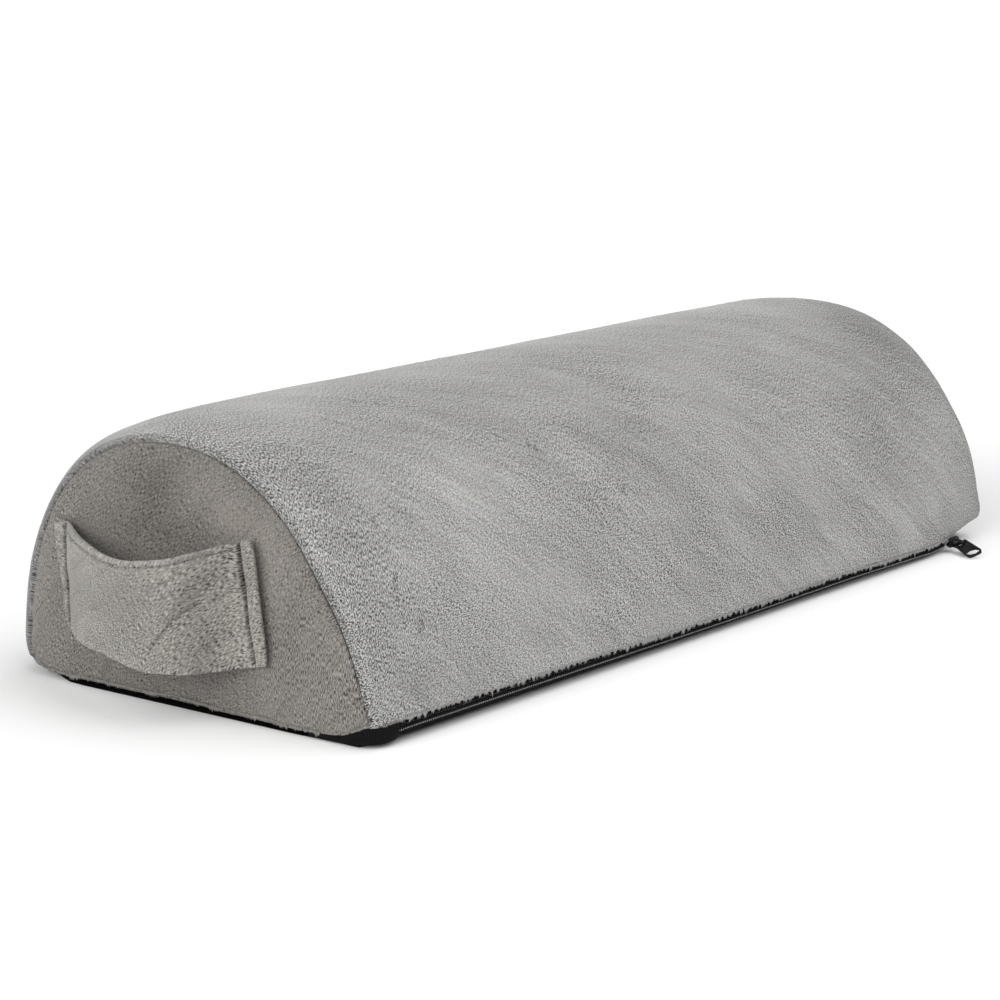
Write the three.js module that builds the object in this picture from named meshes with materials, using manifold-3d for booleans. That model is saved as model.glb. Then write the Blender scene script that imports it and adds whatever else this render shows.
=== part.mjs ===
import * as THREE from "three";
import Module from "manifold-3d";
import { mergeVertices } from "three/addons/utils/BufferGeometryUtils.js";

// A half-moon footrest pillow: one filled arch, two end panels, a flat base, a zip along
// the front edge and a hand strap on the left end. Millimetres, +Z up, +X along the length,
// the zip on the -Y side and the strap on the -X end. The origin is the middle of the base.

// Filled arch
const LENGTH = 450;
const WIDTH = 193;
const HEIGHT = 110;
const ARCH_POWER = 2.2;
const CROWN = 0.8;
const SWELL = 0.3;
const SWELL_LONG = 47;
const SWELL_TURN = 21;
const ARCH_STEPS = 24;
const ARCH_START_DEG = 7;

// Rounding of the long lower edges, and of the arch into its two ends
const EDGE_IN = 6;
const EDGE_HIGH = 9.5;
const STEP_SHARES = [0, 0.25, 0.5, 0.75, 1];
const END_ROUND = 43;
const END_ROUND_TURNS = [0, 14, 28, 45, 66, 90];
const MIDDLE_REACH = 170;
const MIDDLE_STEP = 34;
const SEAM_INSETS = [
  { deg: 0, front: 2.2, back: 12.6 },
  { deg: 16, front: 6.8, back: 12.7 },
  { deg: 36, front: 12.9, back: 10.5 },
  { deg: 57, front: 11.3, back: 7.5 },
  { deg: 75, front: 8.5, back: 6.5 },
  { deg: 90, front: 6.7, back: 6.7 },
];

// Cloth and the gaps between pieces
const GAP = 0.3;
const BASE_CLOTH = 1.6;
const PANEL_CLOTH = 3;
const PANEL_EDGE = 0.7;
const SEAM_LIP = 1.6;
const SEAM_LIP_LOW = 3;
const SEAM_TURNS = [90, 76, 62, 48, 34, 22, 11, 0];
const SEAM_LIP_TURN = 60;
const DOME = 3;
const PANEL_RINGS = [1, 0.78, 0.5, 0.22];
const PANEL_MIDDLE = 40;

// Height of the plush cloth's lower edge over the floor, along the front and the back
const FRONT_EDGE = [
  { x: -225, z: 3.2 },
  { x: -214, z: 8.2 },
  { x: -204, z: 8.8 },
  { x: -110, z: 8 },
  { x: -10, z: 6.5 },
  { x: 100, z: 6.6 },
  { x: 134, z: 5.8 },
  { x: 168, z: 4.8 },
  { x: 186, z: 4.2 },
  { x: 225, z: 3.4 },
];
const BACK_EDGE_Z = 2.4;

// Places across the flat bottom, from back to front
const BOTTOM_ROWS = [73, 60, 46, 0, -54, -69, -82];

// Soft corners that stand off the floor: where each is, how far in it starts, its rise and
// how much narrower it is there
const CORNER_LIFTS = [
  { endX: 1, sideY: -1, longIn: 58, wideIn: 46, rise: 5, drawIn: 5 },
  { endX: -1, sideY: 1, longIn: 34, wideIn: 30, rise: 5, drawIn: 2.5 },
  { endX: 1, sideY: 1, longIn: 34, wideIn: 34, rise: 4, drawIn: 2.5 },
];
const LIFT_FADE_Z = 55;

// Zip
const TAPE_START = -220.7;
const COIL_START = -213.5;
const COIL_END = 184;
const TAPE_END = 191;
const TAPE_CLOTH = 1.1;
const TAPE_SINK = 0.5;
const COIL_WIDE = 1.7;
const COIL_DEEP = 1.9;
const COIL_PROUD = 0.35;
const COIL_SHARE = 0.23;
const COIL_LEAST_DEG = 16;
const RIM_SHARE = 0.62;
const RIM_SHARES = [0, 0.2, 0.4, 0.6, 0.8, 1];
const RIM_RAMP_LEFT = 3.5;
const RIM_RAMP_RIGHT = 8;
const SIDE_GAP = 0.42;

// Zip slider and pull
const SLIDER_X = 186.9;
const SLIDER_Z = 5;
const SLIDER_OUT = 95.8;
const SLIDER_TILT_DEG = 14;
const SLIDER_PLATE = { long: 7.4, high: 4.8, thick: 1.4, corner: 1.6 };
const SLIDER_NECK = { long: 4.4, high: 1.2, deep: 1.5, drop: 1.7 };
const BRIDGE = { wide: 1.6, high: 4.8, reach: 5, wire: 0.8, slant: 20 };
const PULL = { long: 15, hinge: 6.1, tip: 7.2, thick: 1.2, corner: 2.4 };
const PULL_WINDOW = { from: 1.1, to: 5.2, wide: 4.1 };
const PULL_OVAL = { wide: 5.2, long: 3.8, fromTip: 1 };
const PULL_TURN_DEG = -30;
const PULL_DROOP_DEG = 10;
const PULL_ROLL_DEG = -20;
const PULL_SHIFT = 1;

// Hand strap. A row is one place along the loop, from the back tab to the front one:
// how far its lower and upper edges lie across, out from the end seam, and up.
const STRAP_ROWS = [
  { lowY: 50.2, lowOut: 7.5, lowZ: 22.5, highY: 53.0, highOut: 6.4, highZ: 64.6 },
  { lowY: 39.2, lowOut: 13.0, lowZ: 20.7, highY: 42.5, highOut: 12.8, highZ: 62.9 },
  { lowY: 24.0, lowOut: 18.0, lowZ: 20.4, highY: 28.7, highOut: 19.5, highZ: 61.5 },
  { lowY: 12.0, lowOut: 21.6, lowZ: 19.8, highY: 16.5, highOut: 24.2, highZ: 60.4 },
  { lowY: -1.7, lowOut: 25.0, lowZ: 19.2, highY: 1.5, highOut: 28.8, highZ: 61.0 },
  { lowY: -13.0, lowOut: 26.0, lowZ: 20.1, highY: -10.5, highOut: 30.4, highZ: 62.9 },
  { lowY: -21.5, lowOut: 24.4, lowZ: 20.7, highY: -19.4, highOut: 28.6, highZ: 64.2 },
  { lowY: -27.0, lowOut: 19.5, lowZ: 20.9, highY: -25.5, highOut: 22.2, highZ: 65.8 },
  { lowY: -30.6, lowOut: 12.5, lowZ: 20.9, highY: -29.5, highOut: 15.0, highZ: 67.1 },
  { lowY: -36.5, lowOut: 7.6, lowZ: 22.0, highY: -33.0, highOut: 9.6, highZ: 68.3 },
];
// Round the strap's section: the share of its height, and of its thickness from the outside
const STRAP_SECTION = [
  { share: 0.04, deep: 0 },
  { share: 0.3, deep: 0 },
  { share: 0.7, deep: 0 },
  { share: 0.96, deep: 0 },
  { share: 1, deep: 0.3 },
  { share: 1, deep: 0.7 },
  { share: 0.96, deep: 1 },
  { share: 0.7, deep: 1 },
  { share: 0.3, deep: 1 },
  { share: 0.04, deep: 1 },
  { share: 0, deep: 0.7 },
  { share: 0, deep: 0.3 },
];
const STRAP_STEPS = 18;
const STRAP_THICK = 4;
const STRAP_GAP = 0.75;
// A tab row runs from the stitch line out to the tab's free end
const BACK_TAB = [
  { lowY: 51.0, lowZ: 23.0, highY: 54.4, highZ: 65.0, thick: 2.4 },
  { lowY: 51.9, lowZ: 23.3, highY: 55.5, highZ: 65.3, thick: 3.8 },
  { lowY: 53.8, lowZ: 23.9, highY: 58.5, highZ: 65.6, thick: 4 },
  { lowY: 54.8, lowZ: 24.5, highY: 59.5, highZ: 65.3, thick: 3 },
];
const FRONT_TAB = [
  { lowY: -43.4, lowZ: 23.6, highY: -35.8, highZ: 69.6, thick: 2.4 },
  { lowY: -44.4, lowZ: 23.8, highY: -36.8, highZ: 70.1, thick: 3.8 },
  { lowY: -48.4, lowZ: 24.7, highY: -41.0, highZ: 71.0, thick: 4 },
  { lowY: -49.8, lowZ: 25.4, highY: -42.4, highZ: 70.8, thick: 3 },
];

const PLUSH = { color: 0xaaa8a5, roughness: 0.95, metalness: 0 };
const PLUSH_WARM = { color: 0x9d9994, roughness: 0.95, metalness: 0 };
const BLACK_CLOTH = { color: 0x17171a, roughness: 0.9, metalness: 0 };
const BLACK_NYLON = { color: 0x232327, roughness: 0.55, metalness: 0 };
const BLACK_METAL = { color: 0x101012, roughness: 0.35, metalness: 0.6 };

const HALF_LENGTH = LENGTH / 2;
const HALF_WIDTH = WIDTH / 2;
const BODY_DEPTH = BASE_CLOTH + GAP;
const radians = THREE.MathUtils.degToRad;
const smooth = THREE.MathUtils.smoothstep;

// Straight interpolation of one named column over another
function readTable(rows, key, column, at) {
  if (at <= rows[0][key]) return rows[0][column];
  for (let i = 1; i < rows.length; i += 1) {
    const low = rows[i - 1];
    const high = rows[i];
    if (at <= high[key]) {
      const share = (at - low[key]) / (high[key] - low[key]);
      return THREE.MathUtils.lerp(low[column], high[column], share);
    }
  }
  return rows[rows.length - 1][column];
}

// How much of the end rounding applies at x: 0 along the middle, 1 at the end seam
function endShare(x) {
  const along = 1 - (HALF_LENGTH - Math.abs(x)) / END_ROUND;
  if (along <= 0) return 0;
  return 1 - Math.sqrt(Math.max(0, 1 - along * along));
}

// A point of the pillow, moved as far as the soft corners rise and draw in at it
function placed(x, y, z) {
  const low = 1 - smooth(z, 0, LIFT_FADE_Z);
  const point = new THREE.Vector3(x, y, z);
  for (const corner of CORNER_LIFTS) {
    const long = smooth(x * corner.endX, HALF_LENGTH - corner.longIn, HALF_LENGTH);
    const wide = smooth(y * corner.sideY, HALF_WIDTH - corner.wideIn, HALF_WIDTH - EDGE_IN);
    point.y -= corner.sideY * corner.drawIn * long * wide * low;
    point.z += corner.rise * long * wide * low;
  }
  return point;
}

// A point of the arch: 0 degrees is the front at the floor, 90 the ridge, 180 the back
function archPoint(x, degrees, depth) {
  const angle = radians(degrees);
  const power = 2 / ARCH_POWER;
  const across = -Math.sign(Math.cos(angle)) * Math.abs(Math.cos(angle)) ** power;
  const up = Math.sin(angle) ** power;
  const crown = CROWN * (x / HALF_LENGTH) ** 2 * up;
  const swell = SWELL * Math.sin(x / SWELL_LONG + degrees / SWELL_TURN) * up;
  const y = across * HALF_WIDTH;
  const z = up * HEIGHT;
  const side = degrees < 90 ? "front" : "back";
  const inset = endShare(x) * readTable(SEAM_INSETS, "deg", side, Math.min(degrees, 180 - degrees));
  const shrink = 1 - (inset + depth + crown - swell) / Math.hypot(y, z);
  return placed(x, y * shrink, z * shrink);
}

// A point of the rounded lower edge: 0 degrees is its top, 90 where it meets the floor
function edgePoint(x, side, degrees, depth) {
  const angle = radians(degrees);
  const inset = endShare(x) * SEAM_INSETS[0][side < 0 ? "front" : "back"];
  const out = HALF_WIDTH - inset - EDGE_IN * (1 - Math.cos(angle));
  const up = EDGE_HIGH * (1 - Math.sin(angle));
  const normal = new THREE.Vector2(EDGE_HIGH * Math.cos(angle), -EDGE_IN * Math.sin(angle));
  normal.normalize();
  return placed(x, side * (out - depth * normal.x), up - depth * normal.y);
}

// Turn of the lower edge at which its surface is at a height
function edgeDegrees(z) {
  return THREE.MathUtils.radToDeg(Math.asin(1 - z / EDGE_HIGH));
}

// Degrees of the lower edge that a length along it takes, near a turn of it
function edgeTurn(length, degrees) {
  const angle = radians(degrees);
  const rate = Math.hypot(EDGE_IN * Math.sin(angle), EDGE_HIGH * Math.cos(angle));
  return THREE.MathUtils.radToDeg(length / rate);
}

function plushEdge(x, side) {
  const z = side < 0 ? readTable(FRONT_EDGE, "x", "z", x) : BACK_EDGE_Z;
  return edgeDegrees(z);
}

function coilDegrees(x) {
  const start = plushEdge(x, -1);
  return start + Math.max(COIL_SHARE * (90 - start), COIL_LEAST_DEG);
}

// The upper tape's lower edge at x, or with down = 1 the lower tape's upper edge. They part
// round the coil and nearly meet past its ends.
function besideCoil(x, down) {
  const middle = coilDegrees(x);
  const apart = x >= COIL_START && x <= COIL_END ? COIL_WIDE / 2 + SIDE_GAP : SIDE_GAP / 2;
  return middle + down * edgeTurn(apart, middle);
}

function lowerTapeEnd(x) {
  const start = plushEdge(x, -1);
  return start + RIM_SHARE * (90 - start);
}

// Top of the base cloth's turned-up rim: low under the zip, up at the plush past its ends
function rimTop(x, side) {
  const alone = plushEdge(x, side) + edgeTurn(SIDE_GAP, plushEdge(x, side));
  if (side > 0) return alone;
  const pastLeft = (TAPE_START - SIDE_GAP - x) / RIM_RAMP_LEFT;
  const pastRight = (x - TAPE_END - SIDE_GAP) / RIM_RAMP_RIGHT;
  const raised = THREE.MathUtils.clamp(Math.max(pastLeft, pastRight), 0, 1);
  const below = lowerTapeEnd(x) + edgeTurn(SIDE_GAP, lowerTapeEnd(x));
  return THREE.MathUtils.lerp(below, alone, raised);
}

// Places along the length that every long piece shares
function stations() {
  const places = [];
  for (const turn of END_ROUND_TURNS) {
    places.push(HALF_LENGTH - END_ROUND * (1 - Math.cos(radians(turn))));
  }
  for (let x = 0; x <= MIDDLE_REACH; x += MIDDLE_STEP) places.push(x);
  const mirrored = places.filter((x) => x > 0).map((x) => -x);
  const zipEnds = [TAPE_START, COIL_START - 1, COIL_START, COIL_END, COIL_END + 1, TAPE_END];
  const rimEnds = [TAPE_START - SIDE_GAP, TAPE_END + SIDE_GAP, TAPE_END + RIM_RAMP_RIGHT / 2];
  return [...places, ...mirrored, ...zipEnds, ...rimEnds].sort((a, b) => a - b);
}

const STATIONS = stations();

// One closed surface through rings of equally many points, its ends closed by a middle
// point or, with no middle, across the ring as the two sides of a strip
function loft(rings, startMiddle, endMiddle) {
  const count = rings[0].length;
  const points = rings.flat();
  const faces = [];
  for (let ring = 0; ring + 1 < rings.length; ring += 1) {
    for (let i = 0; i < count; i += 1) {
      const a = ring * count + i;
      const b = ring * count + ((i + 1) % count);
      faces.push(a, b, b + count, a, b + count, a + count);
    }
  }
  const last = (rings.length - 1) * count;
  if (startMiddle) {
    const middle = points.push(startMiddle) - 1;
    for (let i = 0; i < count; i += 1) faces.push(middle, (i + 1) % count, i);
  }
  if (endMiddle) {
    const middle = points.push(endMiddle) - 1;
    for (let i = 0; i < count; i += 1) faces.push(middle, last + i, last + ((i + 1) % count));
  }
  if (!startMiddle && !endMiddle) {
    for (let i = 0; i < count / 2 - 1; i += 1) {
      const across = count - 1 - i;
      faces.push(i, across, across - 1, i, across - 1, i + 1);
      faces.push(last + i, last + across - 1, last + across);
      faces.push(last + i, last + i + 1, last + across - 1);
    }
  }
  return solidGeometry(points, faces);
}

// Six times the volume that the faces enclose, negative when they point inwards
function enclosed(points, faces) {
  let total = 0;
  for (let i = 0; i < faces.length; i += 3) {
    const [a, b, c] = [points[faces[i]], points[faces[i + 1]], points[faces[i + 2]]];
    total += a.dot(new THREE.Vector3().crossVectors(b, c));
  }
  return total;
}

function solidGeometry(points, faces) {
  if (enclosed(points, faces) < 0) faces.reverse();
  const geometry = new THREE.BufferGeometry().setFromPoints(points);
  geometry.setIndex(faces);
  geometry.computeVertexNormals();
  return geometry;
}

function piece(name, geometry, look) {
  const mesh = new THREE.Mesh(geometry, new THREE.MeshStandardMaterial(look));
  mesh.name = name;
  return mesh;
}

function archDegrees() {
  const step = (180 - 2 * ARCH_START_DEG) / ARCH_STEPS;
  return Array.from({ length: ARCH_STEPS + 1 }, (unused, i) => ARCH_START_DEG + i * step);
}

// Round the filled arch at x: up the front edge with its step behind the zip and the base
// cloth, over the arch, down the back edge and across the bottom
function archRing(x) {
  const frontEdge = edgeRow(x, -1);
  const arch = archDegrees().map((degrees) => archPoint(x, degrees, 0));
  const backEdge = edgeRow(x, 1).reverse();
  const bottom = BOTTOM_ROWS.map((y) => placed(x, y, BODY_DEPTH));
  return [...frontEdge, ...arch, ...backEdge, ...bottom];
}

function edgeRow(x, side) {
  const step = plushEdge(x, side);
  const behind = STEP_SHARES.map((share) => THREE.MathUtils.lerp(90, step, share));
  const plush = [step, step / 2, 0];
  return [
    ...behind.map((degrees) => edgePoint(x, side, degrees, BODY_DEPTH)),
    ...plush.map((degrees) => edgePoint(x, side, degrees, 0)),
  ];
}

// The end seam's outline at x, drawn in by the seam's lip and a further gap, with the same
// number of points as a ring of the arch
function seamRing(x, end, gap) {
  const at = end * HALF_LENGTH;
  const edge = (side) => SEAM_TURNS.map((degrees) => {
    const low = Math.min(1, degrees / SEAM_LIP_TURN);
    const lip = THREE.MathUtils.lerp(SEAM_LIP, SEAM_LIP_LOW, low);
    return edgePoint(at, side, degrees, lip + gap);
  });
  const arch = archDegrees().map((degrees) => archPoint(at, degrees, SEAM_LIP + gap));
  const back = edge(1).reverse();
  const bottom = BOTTOM_ROWS.map((y) => placed(at, y, SEAM_LIP_LOW + gap));
  const ring = [...edge(-1), ...arch, ...back, ...bottom];
  return ring.map((point) => point.setX(x));
}

// The same outline shrunk towards the panel's middle, on a dome that stands out from x
function domeRing(x, end, gap, share) {
  const bulge = end * DOME * (1 - share * share);
  return seamRing(x, end, gap).map((point) => new THREE.Vector3(
    x + bulge,
    point.y * share,
    PANEL_MIDDLE + (point.z - PANEL_MIDDLE) * share,
  ));
}

function domeMiddle(x, end) {
  return new THREE.Vector3(x + end * DOME, 0, PANEL_MIDDLE);
}

function archCushion() {
  const floorX = HALF_LENGTH - PANEL_CLOTH - GAP;
  const recess = (end) => [
    seamRing(end * HALF_LENGTH, end, 0),
    ...PANEL_RINGS.map((share) => domeRing(end * floorX, end, 0, share)),
  ];
  const rings = [...recess(-1).reverse(), ...STATIONS.map(archRing), ...recess(1)];
  return loft(rings, domeMiddle(-floorX, -1), domeMiddle(floorX, 1));
}

function endPanel(end) {
  const backX = end * (HALF_LENGTH - PANEL_CLOTH);
  const edgeX = end * (HALF_LENGTH - PANEL_EDGE);
  const faceX = end * HALF_LENGTH;
  const back = PANEL_RINGS.map((share) => domeRing(backX, end, GAP, share)).reverse();
  const edge = [seamRing(edgeX, end, GAP), seamRing(faceX, end, GAP + PANEL_EDGE)];
  const face = PANEL_RINGS.slice(1).map((share) => domeRing(faceX, end, GAP, share));
  return loft([...back, ...edge, ...face], domeMiddle(backX, end), domeMiddle(faceX, end));
}

// The base cloth: flat underneath, turned up round both long lower edges
function basePanel() {
  const rim = (x, side) => (
    RIM_SHARES.map((share) => THREE.MathUtils.lerp(rimTop(x, side), 90, share)));
  const ring = (x) => {
    const face = (depth) => {
      const front = rim(x, -1).map((degrees) => edgePoint(x, -1, degrees, depth));
      const back = rim(x, 1).reverse().map((degrees) => edgePoint(x, 1, degrees, depth));
      const middle = [...BOTTOM_ROWS].reverse().map((y) => placed(x, y, depth));
      return [...front, ...middle, ...back];
    };
    return [...face(0), ...face(BASE_CLOTH).reverse()];
  };
  return loft(STATIONS.map(ring));
}

// A zip tape between two turns of the lower edge, given as functions of x
function zipTape(topDegrees, bottomDegrees) {
  const ring = (x) => {
    const turns = [topDegrees(x), (topDegrees(x) + bottomDegrees(x)) / 2, bottomDegrees(x)];
    const face = turns.map((degrees) => edgePoint(x, -1, degrees, TAPE_SINK));
    const back = turns.map((degrees) => edgePoint(x, -1, degrees, TAPE_SINK + TAPE_CLOTH));
    return [...face, ...back.reverse()];
  };
  return loft(STATIONS.filter((x) => x >= TAPE_START && x <= TAPE_END).map(ring));
}

// The closed coil, as a round-edged bar between the tapes
function zipCoil() {
  const ring = (x) => [0, 45, 90, 135, 180, 225, 270, 315].map((turn) => {
    const angle = radians(turn);
    const middle = coilDegrees(x);
    const degrees = middle + edgeTurn((COIL_WIDE / 2) * Math.cos(angle), middle);
    return edgePoint(x, -1, degrees, COIL_DEEP / 2 * (1 + Math.sin(angle)) - COIL_PROUD);
  });
  return loft(STATIONS.filter((x) => x >= COIL_START && x <= COIL_END).map(ring));
}

// Closed solids joined into one body
const wasm = await Module();
wasm.setup();

function joined(geometries) {
  const solids = geometries.map((geometry) => {
    const bare = geometry.clone();
    bare.deleteAttribute("normal");
    if (bare.getAttribute("uv")) bare.deleteAttribute("uv");
    const merged = mergeVertices(bare);
    return new wasm.Manifold(new wasm.Mesh({
      numProp: 3,
      vertProperties: new Float32Array(merged.getAttribute("position").array),
      triVerts: new Uint32Array(merged.getIndex().array),
    }));
  });
  const mesh = solids.reduce((whole, solid) => whole.add(solid)).getMesh();
  const geometry = new THREE.BufferGeometry();
  geometry.setAttribute("position", new THREE.BufferAttribute(mesh.vertProperties, 3));
  geometry.setIndex(new THREE.BufferAttribute(mesh.triVerts, 1));
  geometry.computeVertexNormals();
  return geometry;
}

function roundedOutline(wide, high, corner) {
  const shape = new THREE.Shape();
  const [x, y] = [wide / 2, high / 2];
  shape.moveTo(-x + corner, -y);
  shape.lineTo(x - corner, -y).quadraticCurveTo(x, -y, x, -y + corner);
  shape.lineTo(x, y - corner).quadraticCurveTo(x, y, x - corner, y);
  shape.lineTo(-x + corner, y).quadraticCurveTo(-x, y, -x, y - corner);
  shape.lineTo(-x, -y + corner).quadraticCurveTo(-x, -y, -x + corner, -y);
  return shape;
}

function extruded(shape, depth) {
  return new THREE.ExtrudeGeometry(shape, { depth, bevelEnabled: false, curveSegments: 4 });
}

// Slider in its own axes: x along the zip, y up the cloth, z out from the cloth
function zipSlider() {
  const { long, high, thick, corner } = SLIDER_PLATE;
  const plate = extruded(roundedOutline(long, high, corner), thick);
  const neck = new THREE.BoxGeometry(SLIDER_NECK.long, SLIDER_NECK.high, SLIDER_NECK.deep + thick);
  neck.translate(0, -SLIDER_NECK.drop, (thick - SLIDER_NECK.deep) / 2);
  const arch = roundedOutline(BRIDGE.reach + thick, BRIDGE.high, BRIDGE.wire);
  arch.holes.push(roundedOutline(
    BRIDGE.reach + thick - 2 * BRIDGE.wire,
    BRIDGE.high - 2 * BRIDGE.wire,
    BRIDGE.wire / 2,
  ));
  const bridge = extruded(arch, BRIDGE.wide);
  bridge.translate(0, 0, -BRIDGE.wide / 2);
  bridge.rotateY(-Math.PI / 2);
  bridge.translate(0, 0, (BRIDGE.reach + thick) / 2);
  bridge.rotateZ(radians(BRIDGE.slant));
  return joined([plate, neck, bridge]);
}

function placeSlider(mesh) {
  const outward = radians(90 + SLIDER_TILT_DEG);
  mesh.position.set(SLIDER_X, -SLIDER_OUT, SLIDER_Z);
  mesh.rotation.set(outward, 0, 0);
  return mesh;
}

// Pull plate in its own axes: x across, y from the hinge to the tip, z through it
function zipPull() {
  const { long, hinge, tip, thick, corner } = PULL;
  const shape = new THREE.Shape();
  shape.moveTo(-hinge / 2, 0);
  shape.lineTo(hinge / 2, 0);
  shape.lineTo(tip / 2, long - corner).quadraticCurveTo(tip / 2, long, tip / 2 - corner, long);
  shape.lineTo(-tip / 2 + corner, long).quadraticCurveTo(-tip / 2, long, -tip / 2, long - corner);
  shape.lineTo(-hinge / 2, 0);
  const window = new THREE.Path();
  window.moveTo(-PULL_WINDOW.wide / 2, PULL_WINDOW.from);
  window.lineTo(PULL_WINDOW.wide / 2, PULL_WINDOW.from);
  window.lineTo(PULL_WINDOW.wide / 2, PULL_WINDOW.to);
  window.lineTo(-PULL_WINDOW.wide / 2, PULL_WINDOW.to);
  window.lineTo(-PULL_WINDOW.wide / 2, PULL_WINDOW.from);
  const oval = new THREE.Path();
  const middle = long - PULL_OVAL.fromTip - PULL_OVAL.long / 2;
  oval.absellipse(0, middle, PULL_OVAL.wide / 2, PULL_OVAL.long / 2, 0, 2 * Math.PI);
  shape.holes.push(window, oval);
  const geometry = extruded(shape, thick);
  geometry.translate(0, -PULL_WINDOW.from / 2, -thick / 2);
  return geometry;
}

// The hinge bar lies in the bridge's eye, and the plate droops out towards the floor
function placePull(mesh) {
  const eye = SLIDER_PLATE.thick + (BRIDGE.reach - BRIDGE.wire) / 2;
  const tilt = radians(SLIDER_TILT_DEG);
  const turn = radians(PULL_TURN_DEG);
  const droop = radians(PULL_DROOP_DEG);
  const roll = radians(PULL_ROLL_DEG);
  const length = new THREE.Vector3(
    Math.sin(turn) * Math.cos(droop),
    -Math.cos(turn) * Math.cos(droop),
    -Math.sin(droop),
  );
  const level = new THREE.Vector3(Math.cos(turn), Math.sin(turn), 0);
  const side = level.clone().applyAxisAngle(length, -roll);
  const through = new THREE.Vector3().crossVectors(side, length);
  mesh.setRotationFromMatrix(new THREE.Matrix4().makeBasis(side, length, through));
  mesh.position.set(
    SLIDER_X,
    -SLIDER_OUT - eye * Math.cos(tilt),
    SLIDER_Z - eye * Math.sin(tilt),
  );
  mesh.position.addScaledVector(side, PULL_SHIFT);
  return mesh;
}

// How far the left end panel's face stands out from the end seam at a place on it
function panelOut(y, z) {
  const outline = seamRing(-HALF_LENGTH, -1, GAP);
  const angle = Math.atan2(z - PANEL_MIDDLE, y);
  const reach = outline.reduce((best, point) => {
    const turn = Math.abs(Math.atan2(point.z - PANEL_MIDDLE, point.y) - angle);
    return turn < best.turn ? { turn, far: Math.hypot(point.y, point.z - PANEL_MIDDLE) } : best;
  }, { turn: Infinity, far: HALF_WIDTH });
  const share = Math.min(1, Math.hypot(y, z - PANEL_MIDDLE) / reach.far);
  return DOME * (1 - share * share);
}

// Room for the strap between a point of its outer face and the panel
function clearOfPanel(point) {
  return -point.x - HALF_LENGTH - panelOut(point.y, point.z) - STRAP_GAP;
}

// A row of a tab: its inner face lies on the panel
function tabStation({ lowY, lowZ, highY, highZ, thick }) {
  const low = new THREE.Vector3(-HALF_LENGTH - panelOut(lowY, lowZ) - STRAP_GAP - thick, lowY, lowZ);
  const high = new THREE.Vector3(
    -HALF_LENGTH - panelOut(highY, highZ) - STRAP_GAP - thick,
    highY,
    highZ,
  );
  return { low, high, thick };
}

function strapStations() {
  const lower = STRAP_ROWS.map((row) => (
    new THREE.Vector3(-HALF_LENGTH - row.lowOut, row.lowY, row.lowZ)));
  const upper = STRAP_ROWS.map((row) => (
    new THREE.Vector3(-HALF_LENGTH - row.highOut, row.highY, row.highZ)));
  const lowCurve = new THREE.CatmullRomCurve3(lower, false, "centripetal");
  const highCurve = new THREE.CatmullRomCurve3(upper, false, "centripetal");
  const loop = [];
  for (let i = 0; i <= STRAP_STEPS; i += 1) {
    const low = lowCurve.getPoint(i / STRAP_STEPS);
    const high = highCurve.getPoint(i / STRAP_STEPS);
    const room = Math.min(clearOfPanel(low), clearOfPanel(high));
    loop.push({ low, high, thick: Math.min(STRAP_THICK, room) });
  }
  return [...[...BACK_TAB].reverse().map(tabStation), ...loop, ...FRONT_TAB.map(tabStation)];
}

// The strap's section between its two edges, round at both, with the outer face given
function strapRing(station, before, after) {
  const { low, high, thick } = station;
  const up = new THREE.Vector3().subVectors(high, low);
  const along = new THREE.Vector3().addVectors(after.low, after.high);
  along.sub(before.low).sub(before.high);
  const inward = new THREE.Vector3().crossVectors(along, up).normalize();
  if (inward.x < 0) inward.negate();
  return STRAP_SECTION.map(({ share, deep }) => (
    low.clone().addScaledVector(up, share).addScaledVector(inward, deep * thick)));
}

function handStrap() {
  const rows = strapStations();
  const rings = rows.map((row, i) => (
    strapRing(row, rows[Math.max(0, i - 1)], rows[Math.min(rows.length - 1, i + 1)])));
  const middle = (ring) => ring.reduce((sum, point) => sum.add(point), new THREE.Vector3())
    .divideScalar(ring.length);
  return loft(rings, middle(rings[0]), middle(rings[rings.length - 1]));
}

const pillow = new THREE.Group();
pillow.add(
  piece("arch_cushion", archCushion(), PLUSH),
  piece("end_panel_left", endPanel(-1), PLUSH_WARM),
  piece("end_panel_right", endPanel(1), PLUSH_WARM),
  piece("base_panel", basePanel(), BLACK_CLOTH),
  piece("hand_strap", handStrap(), PLUSH),
  piece("zip_tape_upper", zipTape(
    (x) => plushEdge(x, -1) + edgeTurn(SIDE_GAP, plushEdge(x, -1)),
    (x) => besideCoil(x, -1),
  ), BLACK_CLOTH),
  piece("zip_tape_lower", zipTape(
    (x) => besideCoil(x, 1),
    lowerTapeEnd,
  ), BLACK_CLOTH),
  piece("zip_coil", zipCoil(), BLACK_NYLON),
  placeSlider(piece("zip_slider", zipSlider(), BLACK_METAL)),
  placePull(piece("zip_pull", zipPull(), BLACK_METAL)),
);

export default pillow;
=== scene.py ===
"""A half-moon footrest pillow: grey short-pile plush over foam, a flat black base cloth,
a black zip along the front edge and a plush hand strap on the left end."""

import math

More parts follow.
